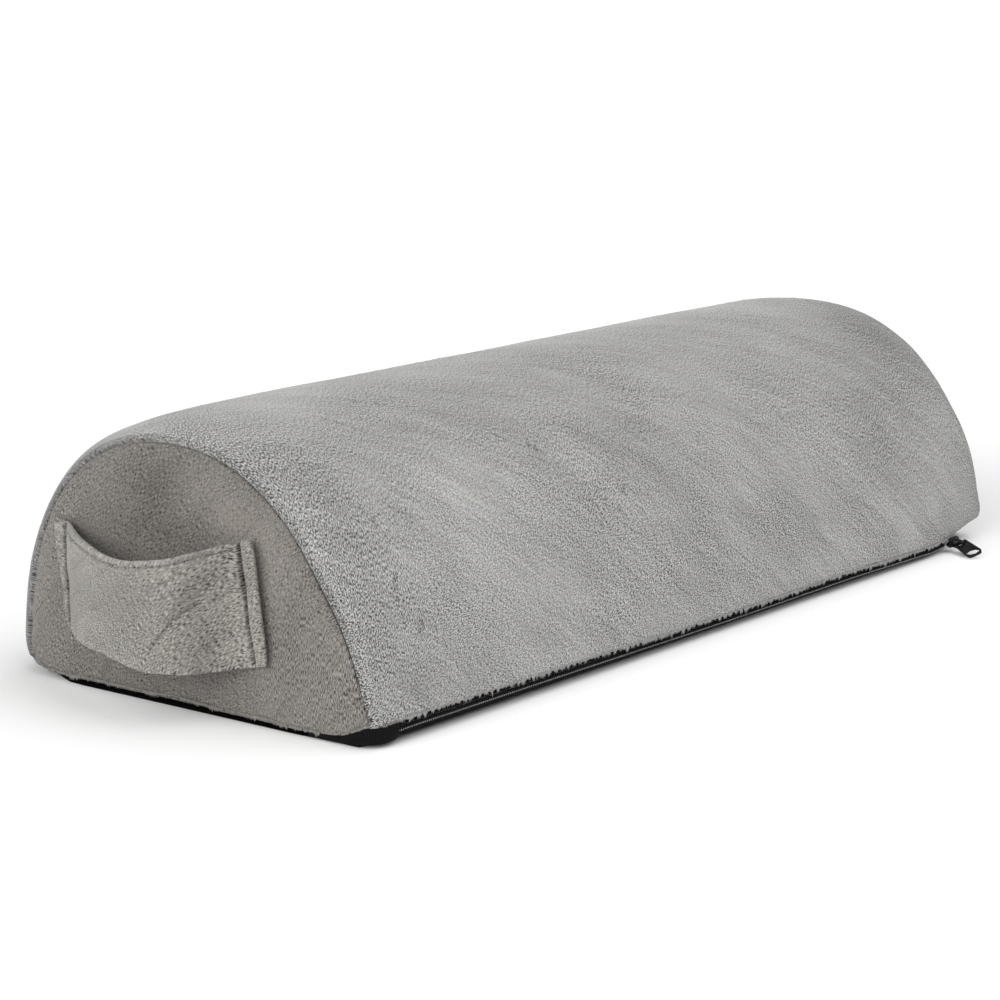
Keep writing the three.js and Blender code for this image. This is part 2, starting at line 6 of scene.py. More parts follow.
import bpy
import numpy as np
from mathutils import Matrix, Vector


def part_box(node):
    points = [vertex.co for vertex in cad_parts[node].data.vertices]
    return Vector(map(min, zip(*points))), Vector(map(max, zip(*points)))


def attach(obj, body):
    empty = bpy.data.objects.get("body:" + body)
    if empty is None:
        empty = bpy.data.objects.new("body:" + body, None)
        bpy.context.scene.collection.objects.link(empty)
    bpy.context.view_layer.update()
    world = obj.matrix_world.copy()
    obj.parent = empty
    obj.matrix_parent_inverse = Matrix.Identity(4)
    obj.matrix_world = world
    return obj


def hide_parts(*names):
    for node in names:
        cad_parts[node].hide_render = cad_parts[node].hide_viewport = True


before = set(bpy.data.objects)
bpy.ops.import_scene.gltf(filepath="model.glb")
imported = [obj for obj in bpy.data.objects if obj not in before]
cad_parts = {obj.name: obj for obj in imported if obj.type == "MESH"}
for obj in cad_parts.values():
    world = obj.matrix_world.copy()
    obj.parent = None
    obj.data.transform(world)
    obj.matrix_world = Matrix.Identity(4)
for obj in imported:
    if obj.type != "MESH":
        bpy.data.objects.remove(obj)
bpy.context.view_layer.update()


def table(columns, *rows):
    """Rows of values under named columns."""
    return [dict(zip(columns.split(), row)) for row in rows]


# Lengths are in metres and angles in radians, unless a comment says otherwise.
# A pair gives where something starts and where it is full.
HALF_LENGTH = 0.225
SAME_POINT = 0.00001

# Camera of the photograph, with its lens and sensor in millimetres
CAMERA_PLACE = (-0.9932, -0.7489, 0.2995)
CAMERA_YAW = 0.660991
CAMERA_PITCH = 0.203557
CAMERA_LENS = 106.286
CAMERA_SENSOR = 36

# Light: wide soft lobes of a studio sky, with their way up from the floor
SKY_LOBES = table(
    "aim power strength",
    ((0.0, -0.6, 0.8), 6, 2.66),
    ((0.6, 0.0, 0.8), 6, 1.07),
    ((-0.95, 0.0, 0.3), 8, 5.9),
    ((0.0, 0.95, 0.3), 8, 0.35),
)
FLOOR_TONE = 0.93

# Meshes: which triangles are joined, how long an edge may be, and the sizes of even meshes
QUAD_ANGLE = 1.2
BASE_SPACING = 0.012
TAPE_SPACING = 0.006
STRAP_VOXEL = 0.0005
PANEL_VOXEL = 0.0009
PANEL_ROUNDS = 30
METAL_CORNER = math.radians(35)
METAL_SMOOTH = math.radians(40)
METAL_FLAT = math.radians(3)

# Filling of the arch: the spacing of its mesh, the cloth, how far a point may move, and
# how near the end seams and the floor it is held
SIM_SPACING = 0.0085
SIM_FRAMES = 20
SIM_CLOTH = {
    "quality": 5, "mass": 0.3, "tension_stiffness": 15, "compression_stiffness": 15,
    "shear_stiffness": 5, "bending_stiffness": 0.5, "use_pressure": True,
    "uniform_pressure_force": 3.0, "vertex_group_mass": "held",
}
SIM_CAP = 0.0016
PIN_FROM_END = 0.012
PIN_BELOW = 0.014
# Heights above the floor and places beside the middle where the arch is soft, its ridge
# and its end seams, where painted shade darkens the pile
ARCH_FREE = {"above": (0.008, 0.03), "beside": (0.215, 0.2245)}
ARCH_RIDGE = (0.085, 0.105)
ARCH_SEAM = (0.2237, 0.2244)
# The arch's low ends are tucked in under the panels: from here on and up to this height
ARCH_LOW_END = (0.2214, 0.2216, 0.0032)
END_TUCK = 0.0032
# Painted shade on the roll beside the end seams, and rougher pile there, on the cloth map
ROLL_WIDE = 0.007
ROLL_UP = (0.095, 0.125)
ROUGH_WIDE = 0.022
ROUGH_UP = (0.15, 0.2)
# Where the rounded ends are unrolled onto the cloth map
UNROLLED = {"beside": (0.16, 0.2), "above": (0.009, 0.02)}

# Lower edge of the plush over the zip, from the left end to the right
FRONT_EDGE = table(
    "x z",
    (-0.225, 0.0032),
    (-0.214, 0.0082),
    (-0.204, 0.0088),
    (-0.110, 0.0080),
    (-0.010, 0.0065),
    (0.100, 0.0066),
    (0.134, 0.0058),
    (0.168, 0.0053),
    (0.186, 0.0063),
)
# Upper edge of the black rim around the front left corner, from the front to the end
CORNER_RIM = table(
    "y z",
    (-0.1000, 0.0084),
    (-0.0915, 0.0082),
    (-0.0880, 0.0068),
    (-0.0840, 0.0048),
    (-0.0800, 0.0034),
    (-0.0720, 0.0024),
    (-0.0640, 0.0020),
)

# Strap path between its tabs, across and out from the end seam, for the pattern's direction
STRAP_PATH = table(
    "y out",
    (0.0570, 0.006),
    (0.0516, 0.007),
    (0.0408, 0.0129),
    (0.0263, 0.0187),
    (0.0142, 0.0229),
    (-0.0001, 0.0269),
    (-0.0118, 0.0282),
    (-0.0204, 0.0265),
    (-0.0262, 0.0208),
    (-0.0300, 0.0137),
    (-0.0350, 0.0086),
    (-0.0460, 0.006),
)
# The strap's upper edge
STRAP_TOP = table(
    "y z",
    (-0.0415, 0.0709),
    (-0.0330, 0.0683),
    (-0.0295, 0.0671),
    (-0.0255, 0.0658),
    (-0.0194, 0.0642),
    (-0.0105, 0.0629),
    (0.0015, 0.0610),
    (0.0165, 0.0604),
    (0.0287, 0.0615),
    (0.0425, 0.0629),
    (0.0530, 0.0646),
    (0.0590, 0.0654),
)
# Stitch lines of the strap's two tabs, as (y, z)
BACK_STITCHES = [(0.0544, 0.0650), (0.0510, 0.0230)]
FRONT_STITCHES = [(-0.0358, 0.0696), (-0.0434, 0.0236)]
# Creases pressed into the strap: their way as (y, z), depth, width and how much painted shade darkens them
CREASE = "way deep wide dark"
STRAP_CREASES = table(
    CREASE,
    ([(-0.0282, 0.0475), (-0.0221, 0.0418), (-0.0159, 0.0349), (-0.0101, 0.0283)], 0.0009, 0.0006, 0.25),
    ([(-0.0350, 0.0640), (-0.0290, 0.0560), (-0.0245, 0.0510)], 0.0006, 0.0009, 0.12),
    ([(-0.0335, 0.0600), (-0.0285, 0.0520), (-0.0225, 0.0460)], 0.0005, 0.0008, 0.12),
    ([(-0.0320, 0.0560), (-0.0270, 0.0475), (-0.0200, 0.0415)], 0.0004, 0.0008, 0.12),
    ([(-0.0270, 0.0610), (-0.0200, 0.0560), (-0.0120, 0.0535)], 0.0004, 0.0010, 0.1),
)
# Short creases in the arch's pile, on its cloth map, darkened with painted shade
ARCH_CREASES = table(
    CREASE,
    ([(-0.092, 0.097), (-0.086, 0.088)], 0.0003, 0.0006, 0.35),
    ([(-0.062, 0.075), (-0.054, 0.067)], 0.0003, 0.0006, 0.3),
    ([(-0.110, 0.067), (-0.109, 0.055)], 0.0003, 0.0006, 0.3),
    ([(-0.200, 0.062), (-0.204, 0.052), (-0.203, 0.044)], 0.0005, 0.0009, 0.3),
    ([(-0.192, 0.045), (-0.196, 0.036)], 0.0004, 0.0008, 0.25),
    ([(-0.206, 0.093), (-0.199, 0.083), (-0.197, 0.074)], 0.0005, 0.0009, 0.3),
    ([(-0.150, 0.142), (-0.135, 0.128)], 0.0003, 0.0007, 0.25),
    ([(-0.176, 0.134), (-0.164, 0.118)], 0.0004, 0.0008, 0.25),
)

# Pile: the turns of its two brushed directions and of its streaks, and each stroke's size
ARCH_TURNS = (math.radians(19), math.radians(72), math.radians(-38))
END_TURNS = (math.radians(-48), math.radians(-92), math.radians(-48))
STRAP_TURNS = (math.radians(32), math.radians(2), math.radians(30))
ARCH_STROKE = (0.0011, 0.00042)
END_STROKE = (0.0014, 0.00025)
STRAP_STROKE = (0.0015, 0.00026)
PILE_DRIFT = 0.01
ARCH_MAP_RADIUS = 0.1
# Shares of strokes, specks and locks in the pile, and the range that is shaded
PILE_MIX = (0.72, 0.22, 0.06)
PILE_RANGE = (0.36, 0.64)
PILE_CONTRAST = 0.84
CLOSE_CONTRAST = 1.15
SWEEP_CONTRAST = 0.05
STREAK_CONTRAST = 0.09
PILE_DEPTH = 0.0008
# Painted shade at the arch's end seams and on the panels' edges turned in at the seams
SEAM_SHADE = 0.2
PANEL_SEAM_SHADE = 0.12
# Rougher pile beside the end seams in front, and smoother over the back
SEAM_ROUGH = (0.5, -0.4)
# Painted shade on the roll beside the end seams
ROLL_SHADE = 0.07
PILE_SHEEN = 0.3
PILE_SPREAD = 0.35
# Tuft tones at the root and the tip: darker at the root as painted shade deep in the pile
TUFT_ROOT = 0.35
TUFT_TIP = 0.6
TUFT_SHADE = 0.1

# Patches on the cloth maps, with their place, half-lengths and turn in degrees.
# Nap: how much paler, from the pile's brushing and, in places, from painted light and shade. Lay: how far
# the crossing strokes take over. Ruffle: how much rougher.
PATCH = "u v long wide turn tone"
ARCH_NAP_AND_LIGHT = table(
    PATCH,
    # Painted highlight: the two long pale bands along the ridge.
    (0.02, 0.176, 0.260, 0.024, 3, 0.23),
    (0.160, 0.172, 0.070, 0.026, 0, 0.2),
    (-0.190, 0.120, 0.030, 0.025, 0, 0.06),
    (-0.140, 0.170, 0.060, 0.020, 0, 0.06),
    (-0.150, 0.072, 0.045, 0.036, 20, 0.08),
    (-0.130, 0.040, 0.060, 0.018, 0, 0.05),
    (-0.212, 0.095, 0.012, 0.050, 0, -0.07),
    (-0.200, 0.021, 0.014, 0.010, 30, -0.11),
    # Painted shade: the two darker patches at the right end's front.
    (0.190, 0.108, 0.030, 0.030, 0, -0.13),
    (0.150, 0.070, 0.040, 0.026, 30, -0.06),
    (0.050, 0.098, 0.050, 0.010, -25, 0.05),
    (-0.040, 0.085, 0.045, 0.010, -30, -0.05),
    (-0.115, 0.120, 0.040, 0.012, 10, -0.05),
    (0.080, 0.016, 0.120, 0.010, 4, 0.06),
    (-0.120, 0.013, 0.090, 0.008, 0, 0.05),
)
END_NAP = table(
    PATCH,
    (0.012, 0.082, 0.016, 0.014, 20, -0.19),
    (0.034, 0.068, 0.012, 0.008, 0, -0.10),
    (0.002, 0.066, 0.018, 0.008, 0, -0.12),
    (-0.026, 0.080, 0.022, 0.010, 38, 0.12),
    (-0.046, 0.062, 0.010, 0.016, 25, 0.09),
    (-0.080, 0.030, 0.009, 0.024, 20, 0.15),
    (-0.056, 0.032, 0.006, 0.012, 0, -0.09),
    (0.010, 0.008, 0.060, 0.010, 0, -0.03),
    (0.082, 0.045, 0.012, 0.030, 0, 0.06),
)
STRAP_NAP = table(
    PATCH,
    (0.038, 0.058, 0.020, 0.008, 0, 0.08),
    (-0.024, 0.062, 0.014, 0.006, 0, 0.10),
    (-0.002, 0.048, 0.010, 0.008, 0, -0.04),
)
ARCH_LAY = table(
    PATCH,
    (-0.10, 0.130, 0.20, 0.050, 0, 1.0),
    (0.06, 0.160, 0.22, 0.050, 0, 1.0),
    (0.16, 0.080, 0.07, 0.070, 0, 0.9),
    (-0.21, 0.060, 0.03, 0.080, 0, 0.8),
)
END_LAY = table(
    PATCH,
    (-0.070, 0.020, 0.030, 0.035, 0, 1.0),
    (0.090, 0.030, 0.025, 0.050, 0, 0.9),
)
STRAP_LAY = table(
    PATCH,
    (0.045, 0.045, 0.025, 0.050, 0, 0.6),
)
END_RUFFLE = table(
    PATCH,
    (-0.026, 0.080, 0.024, 0.013, 38, -0.35),
    (0.085, 0.045, 0.014, 0.030, 0, -0.2),
)
STRAP_RUFFLE = table(
    PATCH,
    (0.045, 0.045, 0.016, 0.050, 0, -0.3),
    (-0.040, 0.045, 0.008, 0.050, 0, -0.25),
)

ARCH_PATCHES = {"nap_light_and_shade": ARCH_NAP_AND_LIGHT, "lay": ARCH_LAY}
END_PATCHES = {"nap_light_and_shade": END_NAP, "lay": END_LAY, "ruffle": END_RUFFLE}
STRAP_PATCHES = {"nap_light_and_shade": STRAP_NAP, "lay": STRAP_LAY, "ruffle": STRAP_RUFFLE}

# Strap: its hem's stitch line below the upper edge, its grooves and where its tabs begin
HEM_AT = 0.0022
HEM_ROLL_AT = 0.0042
STITCH_WIDE = 0.0006
STRAP_FREE = {"front": (-0.036, -0.033), "back": (0.0525, 0.055)}
TAB_EDGE = (0.0555, 0.0595)
TAB_REACH = 0.0022

# Base cloth's rounded front left corner, and how far the two lifted corners are drawn in
CORNER_DRAWN = 0.005
CORNER_ROUND = 0.0075
CORNER_FRONT = -0.0957
CORNER_END = -0.2252
CORNER_INSET = 0.0013
CORNER_FROM = -0.2095
CORNER_EASE = (0.001, 0.004)
CORNER_LIP = (-0.0008, 0.0003)
RIM_FRONT_END = -0.218
# How far the rim's front end goes in behind the tape, and over what length
RIM_DIVE = 0.0016
RIM_DIVE_LONG = 0.0035
RIM_THICK = 0.0008
# Rows of the rim from the floor up: how far in, the lowest height, and their share of the top
RIM_ROWS = table(
    "inset low share",
    (0.0034, 0.0018, 0.0),
    (0.0020, 0.0020, 0.0),
    (0.0009, 0.0021, 0.12),
    (0.0003, 0.0012, 0.42),
    (0.0001, 0.0006, 0.75),
    (0.0005, 0.0002, 1.0),
)
# How much lower the rim lies along the end than at the front
RIM_LOWER = 0.6
RIM_LOWER_FROM = (-0.0945, -0.078)
# The base cloth lies this far behind the front edge, and this much lower along the left end
BASE_INSET = 0.0028
BASE_LOWER = 0.0018
# Where it starts to be drawn in or lowered, and where it fully is, outwards from the middle
BASE_FRONT = (0.083, 0.089)
BASE_BACK_LEFT = {"x": (0.19, 0.222), "y": (0.055, 0.078)}
BASE_FRONT_RIGHT = {"x": (0.196, 0.21), "y": (0.06, 0.085)}
BASE_LEFT = {"x": (0.215, 0.221), "y": (-0.075, -0.06)}
# How much the end panels reach down to the base cloth
PANEL_DROP = 0.0013

# Zip: the coil's turns, and pale beads on their crests as painted highlights
COIL_PITCH = 0.00117
COIL_SKEW = 0.35
COIL_HALF_TURN = 0.00062
COIL_THICK = 0.0005
COIL_OFFSET = 0.0003
COIL_OUT = 0.0008
CREST_SIZE = (0.00019, 0.0004, 0.0002)
METAL_ROUNDING = 0.00018
# Pull: its oval hole, its plate and its window, from the hinge
OVAL_AT = 0.0121
OVAL_HALF = (0.0019, 0.0026)
OVAL_GROWS = (1.38, 1.3)
OVAL_SHIFT = 0.00015
PLATE_GROWS = 1.04
PLATE_FROM = 0.008
WINDOW_END = 0.0052
WINDOW_REACH = (0.0003, 0.0023)
WINDOW_SHORT = 0.0021

# Fringe tufts: thickness, width and length, and how they hang
FRINGE_SIZE = (0.0002, 0.00045, 0.0015)
FRINGE_RISE = 0.0009
FRINGE_OUT = 0.08
FRINGE_SWAY = 0.25
FRINGE_CLEAR = 0.0004
BACK_STATIONS = np.linspace(-0.216, 0.22, 60)


# Objects and edit mode

def only(*pieces):
    """Selects these objects and nothing else."""
    for other in list(bpy.context.selected_objects):
        other.select_set(False)
    for chosen in pieces:
        chosen.select_set(True)
    bpy.context.view_layer.objects.active = pieces[0]


def edit(piece, *steps):
    """Runs edit-mode steps on the whole of a piece."""
    only(piece)
    bpy.ops.object.mode_set(mode="EDIT")
    bpy.ops.mesh.select_mode(type="VERT")
    bpy.ops.mesh.select_all(action="SELECT")
    for step in steps:
        step()
    bpy.ops.object.mode_set(mode="OBJECT")


def copy_node(node, name):
    """A merged copy of a CAD node's mesh, to be dressed."""
    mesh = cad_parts[node].data.copy()
    mesh.materials.clear()
    piece = bpy.data.objects.new(name, mesh)
    bpy.context.scene.collection.objects.link(piece)
    edit(
        piece,
        lambda: bpy.ops.mesh.remove_doubles(threshold=SAME_POINT),
        lambda: bpy.ops.mesh.tris_convert_to_quads(face_threshold=QUAD_ANGLE, shape_threshold=QUAD_ANGLE),
    )
    return piece


def modify(piece, kind, **settings):
    """Adds a modifier and applies it."""
    only(piece)
    modifier = piece.modifiers.new(kind.lower(), kind)
    for key, value in settings.items():
        setattr(modifier, key, value)
    bpy.ops.object.modifier_apply(modifier=modifier.name)


def subdivide(piece, levels):
    modify(piece, "SUBSURF", levels=levels, render_levels=levels)


def split_long(piece, longest):
    """Cuts the edges that run along the length until none is much longer than this."""
    only(piece)
    mesh = piece.data
    for cuts in (3, 2, 1):
        limit = longest * (cuts + 0.35)
        picked = []
        for line in mesh.edges:
            a, b = (mesh.vertices[i].co for i in line.vertices)
            along = abs(a.x - b.x)
            picked.append(along > limit and along > 4 * (Vector((a.y, a.z)) - Vector((b.y, b.z))).length)
        if not any(picked):
            continue
        bpy.ops.object.mode_set(mode="EDIT")
        bpy.ops.mesh.select_mode(type="EDGE")
        bpy.ops.mesh.select_all(action="DESELECT")
        bpy.ops.object.mode_set(mode="OBJECT")
        for line, chosen in zip(mesh.edges, picked):
            line.select = chosen
        bpy.ops.object.mode_set(mode="EDIT")
        bpy.ops.mesh.subdivide(number_cuts=cuts)
        bpy.ops.object.mode_set(mode="OBJECT")
        mesh = piece.data


def read_vectors(source, key):
    flat = np.zeros(len(source) * 3)
    source.foreach_get(key, flat)
    return flat.reshape(-1, 3)


def read_points(mesh):
    return read_vectors(mesh.vertices, "co")


def read_normals(mesh):
    return read_vectors(mesh.vertex_normals, "vector")


def write_points(mesh, points):
    mesh.vertices.foreach_set("co", points.ravel())
    mesh.update()


def remesh(piece, size):
    """Gives a closed piece an even mesh of small faces."""
    only(piece)
    piece.data.remesh_voxel_size = size
    bpy.ops.object.voxel_remesh()
    modify(piece, "SMOOTH", factor=0.5, iterations=3)


def smooth_faces(piece):
    only(piece)
    bpy.ops.object.shade_smooth()


def ease(value, low, high):
    """Smooth step from 0 at low to 1 at high, for an array."""
    share = np.clip((value - low) / (high - low), 0, 1)
    return share * share * (3 - 2 * share)


def unit(vectors):
    return vectors / np.maximum(np.linalg.norm(vectors, axis=-1, keepdims=True), 1e-12)


def read_table(rows, at, key, column):
    """A table's column read at places along its key, with straight lines between the rows."""
    return np.interp(at, [row[key] for row in rows], [row[column] for row in rows])


def corner_depth(points):
    """How far points lie inside the base's rounded front left corner, and the way inwards."""
    aside = CORNER_END + CORNER_ROUND - points[:, 0]
    ahead = CORNER_FRONT + CORNER_ROUND - points[:, 1]
    both = (aside > 0) * (ahead > 0)
    far = np.maximum(np.hypot(aside, ahead), 1e-9)
    depth = CORNER_ROUND - np.where(both, far, np.maximum(aside, ahead))
    inward = np.zeros((len(points), 3))
    inward[:, 0] = np.where(both, aside / far, aside > ahead)
    inward[:, 1] = np.where(both, ahead / far, aside <= ahead)
    return depth, inward


def rim_top(points):
    """Height of the black rim around the front left corner."""
    along = np.where(points[:, 0] < RIM_FRONT_END, points[:, 1], CORNER_RIM[0]["y"])
    return read_table(CORNER_RIM, along, "y", "z")


def tuck_corner(points, over=0.0):
    """Moves what lies behind the black rim inwards."""
    x, y, z = points.T
    depth, inward = corner_depth(points)
    near = ease(CORNER_FROM - x, *CORNER_EASE) * (y < CORNER_RIM[-1]["y"])
    top = rim_top(points)
    share = near * (1 - ease(z, top + CORNER_LIP[0] + over, top + CORNER_LIP[1] + over))
    push = np.maximum(CORNER_INSET - depth, 0) * share
    return points + inward * push[:, None]


def finish_piece(piece, slot, material, *nodes):
    """Gives a piece its finish, smooth shading and the root body, and hides the CAD nodes it stands for."""
    piece.data.materials.clear()
    piece.data.materials.append(material)
    smooth_faces(piece)
    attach(piece, "root")
    if nodes:
        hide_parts(*nodes)


# Soft unevenness, from a few crossing waves

def waves(points, length, seed, count=7):
    """Smooth random hills of about one length, from -1 to 1."""
    draw = np.random.default_rng(seed)
    total = np.zeros(len(points))
    for _ in range(count):
        direction = draw.normal(size=points.shape[1])
        direction /= np.linalg.norm(direction)
        turn = 2 * math.pi / (length * draw.uniform(0.7, 1.5))
        total += np.sin(points @ direction * turn + draw.uniform(0, 2 * math.pi))
    return total / math.sqrt(count)


def way_distance(points, way):
    """How far 2-D points lie from a line through these places."""
    way = np.array(way)
    best = np.full(len(points), np.inf)
    for start, end in zip(way[:-1], way[1:]):
        step = end - start
        share = np.clip((points - start) @ step / (step @ step), 0, 1)
        best = np.minimum(best, np.linalg.norm(points - start - share[:, None] * step, axis=1))
    return best


def groove(distance, deep, wide):
    """A soft trough: how far the points at these distances from its line go in."""
    return -deep * np.exp(-(distance / wide) ** 2)


def press_creases(points, creases):
    """How far 2-D points go in at pressed creases, and how much painted shade darkens them."""
    moved, tone = np.zeros(len(points)), np.zeros(len(points))
    for crease in creases:
        distance = way_distance(points, crease["way"])
        moved += groove(distance, crease["deep"], crease["wide"])
        tone += groove(distance, crease["dark"], crease["wide"] * 0.7)
    return moved, tone


# Materials

class Nodes:
    """A node tree and the short calls that build it."""

    def __init__(self, tree):
        self.tree = tree

    def give(self, socket, value):
        if isinstance(value, bpy.types.NodeSocket):
            self.tree.links.new(value, socket)
        else:
            socket.default_value = value

    def node(self, kind, settings=None, inputs=(), **values):
        """A new node with its settings, its first inputs in order and others by name."""
        made = self.tree.nodes.new("ShaderNode" + kind)
        for key, value in (settings or {}).items():
            setattr(made, key, value)
        for number, value in enumerate(inputs):
            self.give(made.inputs[number], value)
        for key, value in values.items():
            self.give(made.inputs[key.replace("_", " ")], value)
        return made

    def math(self, operation, a, b=0.0, clamp=False):
        return self.node("Math", {"operation": operation, "use_clamp": clamp}, (a, b)).outputs[0]

    def sum(self, *parts):
        total = parts[0]
        for part in parts[1:]:
            total = self.math("ADD", total, part)
        return total

    def vector_math(self, operation, a, b):
        made = self.node("VectorMath", {"operation": operation}, (a, b))
        return made.outputs["Value" if operation == "DOT_PRODUCT" else "Vector"]

    def scaled(self, vector, factor):
        return self.node("VectorMath", {"operation": "SCALE"}, (vector,), Scale=factor).outputs[0]

    def noise(self, vector, size, detail=2.0, turn=0.0, flat=True, rough=0.5):
        """Noise with cells of a size in metres, or of a (long, wide) size turned on a flat map."""
        long, wide = size if isinstance(size, tuple) else (size, size)
        placed = self.node("Mapping", {"vector_type": "TEXTURE"}, Vector=vector,
                           Rotation=(0, 0, turn), Scale=(long, wide, long)).outputs[0]
        settings = {"noise_dimensions": "2D" if flat else "3D"}
        return self.node("TexNoise", settings, Vector=placed, Scale=1.0, Detail=detail,
                         Roughness=rough).outputs["Fac"]

    def remap(self, value, low, high, to_low, to_high, kind="LINEAR"):
        settings = {"clamp": True, "interpolation_type": kind}
        return self.node("MapRange", settings, (value, low, high, to_low, to_high)).outputs[0]

    def blend(self, share, a, b):
        made = self.node("Mix", {"data_type": "RGBA", "clamp_factor": True}, (share,))
        self.give(made.inputs[6], a)
        self.give(made.inputs[7], b)
        return made.outputs[2]

    def between(self, share, a, b):
        """A number between a and b."""
        made = self.node("Mix", {"data_type": "FLOAT", "clamp_factor": True}, (share,))
        self.give(made.inputs[2], a)
        self.give(made.inputs[3], b)
        return made.outputs[0]

    def attribute(self, name):
        return self.node("Attribute", {"attribute_name": name}).outputs["Fac"]

    def bump(self, height, distance, strength=1.0):
        return self.node("Bump", Height=height, Distance=distance, Strength=strength).outputs[0]


class Finish(Nodes):
    """A material."""

    def __init__(self, name):
        self.material = bpy.data.materials.new(name)
        self.material.use_nodes = True
        super().__init__(self.material.node_tree)
        self.shader = self.tree.nodes["Principled BSDF"]

    def set(self, **values):
        for key, value in values.items():
            self.give(self.shader.inputs[key.replace("_", " ")], value)

    def colours(self, share, dark, light):
        self.set(Base_Color=self.blend(share, (*dark, 1), (*light, 1)))


def plush(name, dark, light, turns, stroke, contrast):
    """Short brushed pile. Its strokes lie along the cloth's own map, in two crossing
    directions that take turns from place to place, over painted patches of paler and darker
    pile, some of them painted light and shade. Its colour is darker where its bump is lower: painted shade
    in its hollows."""
    turn, crossing, streak_turn = turns
    finish = Finish(name)
    cloth = finish.node("UVMap", {"uv_map": "cloth"}).outputs[0]
    drift = finish.node("TexNoise", {"noise_dimensions": "2D"}, Vector=cloth, Scale=14.0, Detail=1.0)
    pushed = finish.vector_math("SUBTRACT", drift.outputs["Color"], (0.5, 0.5, 0.5))
    brushed = finish.vector_math("ADD", cloth, finish.scaled(pushed, PILE_DRIFT))
    main = finish.noise(brushed, stroke, 2.0, turn)
    crossed = finish.noise(brushed, stroke, 2.0, crossing)
    wander = finish.math("MULTIPLY", finish.noise(cloth, 0.028, 1.0), 0.8)
    side = finish.remap(finish.sum(finish.attribute("lay"), wander), 0.72, 1.08, 0.0, 1.0)
    fibres = finish.between(side, main, crossed)
    specks = finish.noise(brushed, stroke[1] * 1.1, 1.0)
    locks = finish.noise(brushed, (stroke[0] * 3, stroke[1] * 3), 2.0, turn + 0.2)
    pile = finish.sum(
        *(finish.math("MULTIPLY", part, share) for part, share in zip((fibres, specks, locks), PILE_MIX)))
    ruffled = finish.math("ADD", finish.remap(finish.noise(cloth, 0.05, 2.0), 0.4, 0.64, 0.8, 1.15),
                          finish.attribute("ruffle"))
    swept = finish.noise(brushed, (0.05, 0.014), 3.0, streak_turn, rough=0.6)
    streaks = finish.noise(brushed, (0.03, 0.0022), 2.0, streak_turn)
    fine_streak = finish.remap(streaks, 0.62, 0.74, 0.0, 1.0)
    pale_streak = finish.remap(streaks, 0.38, 0.28, 0.0, 1.0)
    # The colour follows the pile's height, which also drives its bump: painted shade in the hollows.
    shade = finish.math("MULTIPLY", finish.remap(pile, *PILE_RANGE, -0.5, 0.5, "SMOOTHSTEP"),
                        finish.math("MULTIPLY", ruffled, contrast))
    tone = finish.sum(
        shade,
        finish.remap(swept, 0.32, 0.68, -SWEEP_CONTRAST, SWEEP_CONTRAST),
        finish.math("MULTIPLY", fine_streak, -STREAK_CONTRAST),
        finish.math("MULTIPLY", pale_streak, STREAK_CONTRAST),
        finish.attribute("nap_light_and_shade"))
    finish.colours(finish.math("ADD", tone, 0.5, clamp=True), dark, light)
    depth = finish.math("MULTIPLY", pile, ruffled)
    sunk = finish.math("SUBTRACT", depth, finish.math("MULTIPLY", fine_streak, 0.25))
    finish.set(Normal=finish.bump(sunk, PILE_DEPTH), Roughness=0.94, Sheen_Weight=PILE_SHEEN,
               Sheen_Roughness=0.45, Specular_IOR_Level=0.15, Sheen_Tint=(0.95, 0.95, 0.94, 1))
    return finish.material


def tuft_finish(name, dark, light):
    """Single tufts: darker at the root as painted shade, each with a random tone of its own."""
    finish = Finish(name)
    place = finish.node("TexCoord").outputs["Object"]
    speck = finish.noise(place, 0.0009, 1.0, flat=False)
    tone = finish.sum(finish.attribute("tone"), finish.remap(speck, 0.3, 0.7, -0.12, 0.12))
    finish.colours(tone, dark, light)
    finish.set(Roughness=0.94, Sheen_Weight=0.1, Specular_IOR_Level=0.15,
               Normal=finish.bump(speck, 0.0001, 0.5))
    return finish.material


def woven(name, colour, thread, rough):
    """Plain black cloth with a fine weave."""
    finish = Finish(name)
    place = finish.node("TexCoord").outputs["Object"]

    def ribs(direction):
        return finish.node("TexWave", {"wave_type": "BANDS", "bands_direction": direction},
                           Vector=place, Scale=math.pi / thread / 10, Distortion=0.6).outputs["Fac"]

    cross = finish.math("MULTIPLY", ribs("X"), finish.math("MAXIMUM", ribs("Y"), ribs("Z")))
    fuzz = finish.noise(place, 0.0011, 2.0, flat=False)
    height = finish.math("ADD", cross, finish.math("MULTIPLY", fuzz, 0.5))
    worn = finish.remap(finish.noise(place, 0.02, 2.0, flat=False), 0.4, 0.65, 0.8, 1.3)
    # The colour follows the weave's height, which also drives its bump: painted shade between the threads.
    tone = finish.math("MULTIPLY", finish.remap(height, 0.1, 1.1, 0.0, 0.8), worn)
    finish.colours(tone, [c * 0.5 for c in colour], [c * 2 for c in colour])
    finish.set(Normal=finish.bump(height, 0.0002, 0.8), Roughness=rough, Specular_IOR_Level=0.1)
    return finish.material


def smooth_black(name, colour, rough, shine, grain=0.0007):
    """Nylon or enamelled metal with a faint unevenness."""
    finish = Finish(name)
    place = finish.node("TexCoord").outputs["Object"]
    speck = finish.noise(place, grain, 2.0, flat=False)
    spread = finish.remap(speck, 0.3, 0.7, 0, 1)
    finish.colours(spread, [c * 0.7 for c in colour], [c * 1.5 for c in colour])
    finish.set(Roughness=finish.remap(speck, 0.3, 0.7, rough * 0.8, rough * 1.25),
               Normal=finish.bump(speck, 0.00003, 0.5), Specular_IOR_Level=shine)
    return finish.material


def flat_white(name, tone, rough):
    finish = Finish(name)
    finish.set(Base_Color=(tone, tone, tone, 1), Roughness=rough, Specular_IOR_Level=0.2)
    return finish.material


# Cloth maps: metres along the cloth in both directions

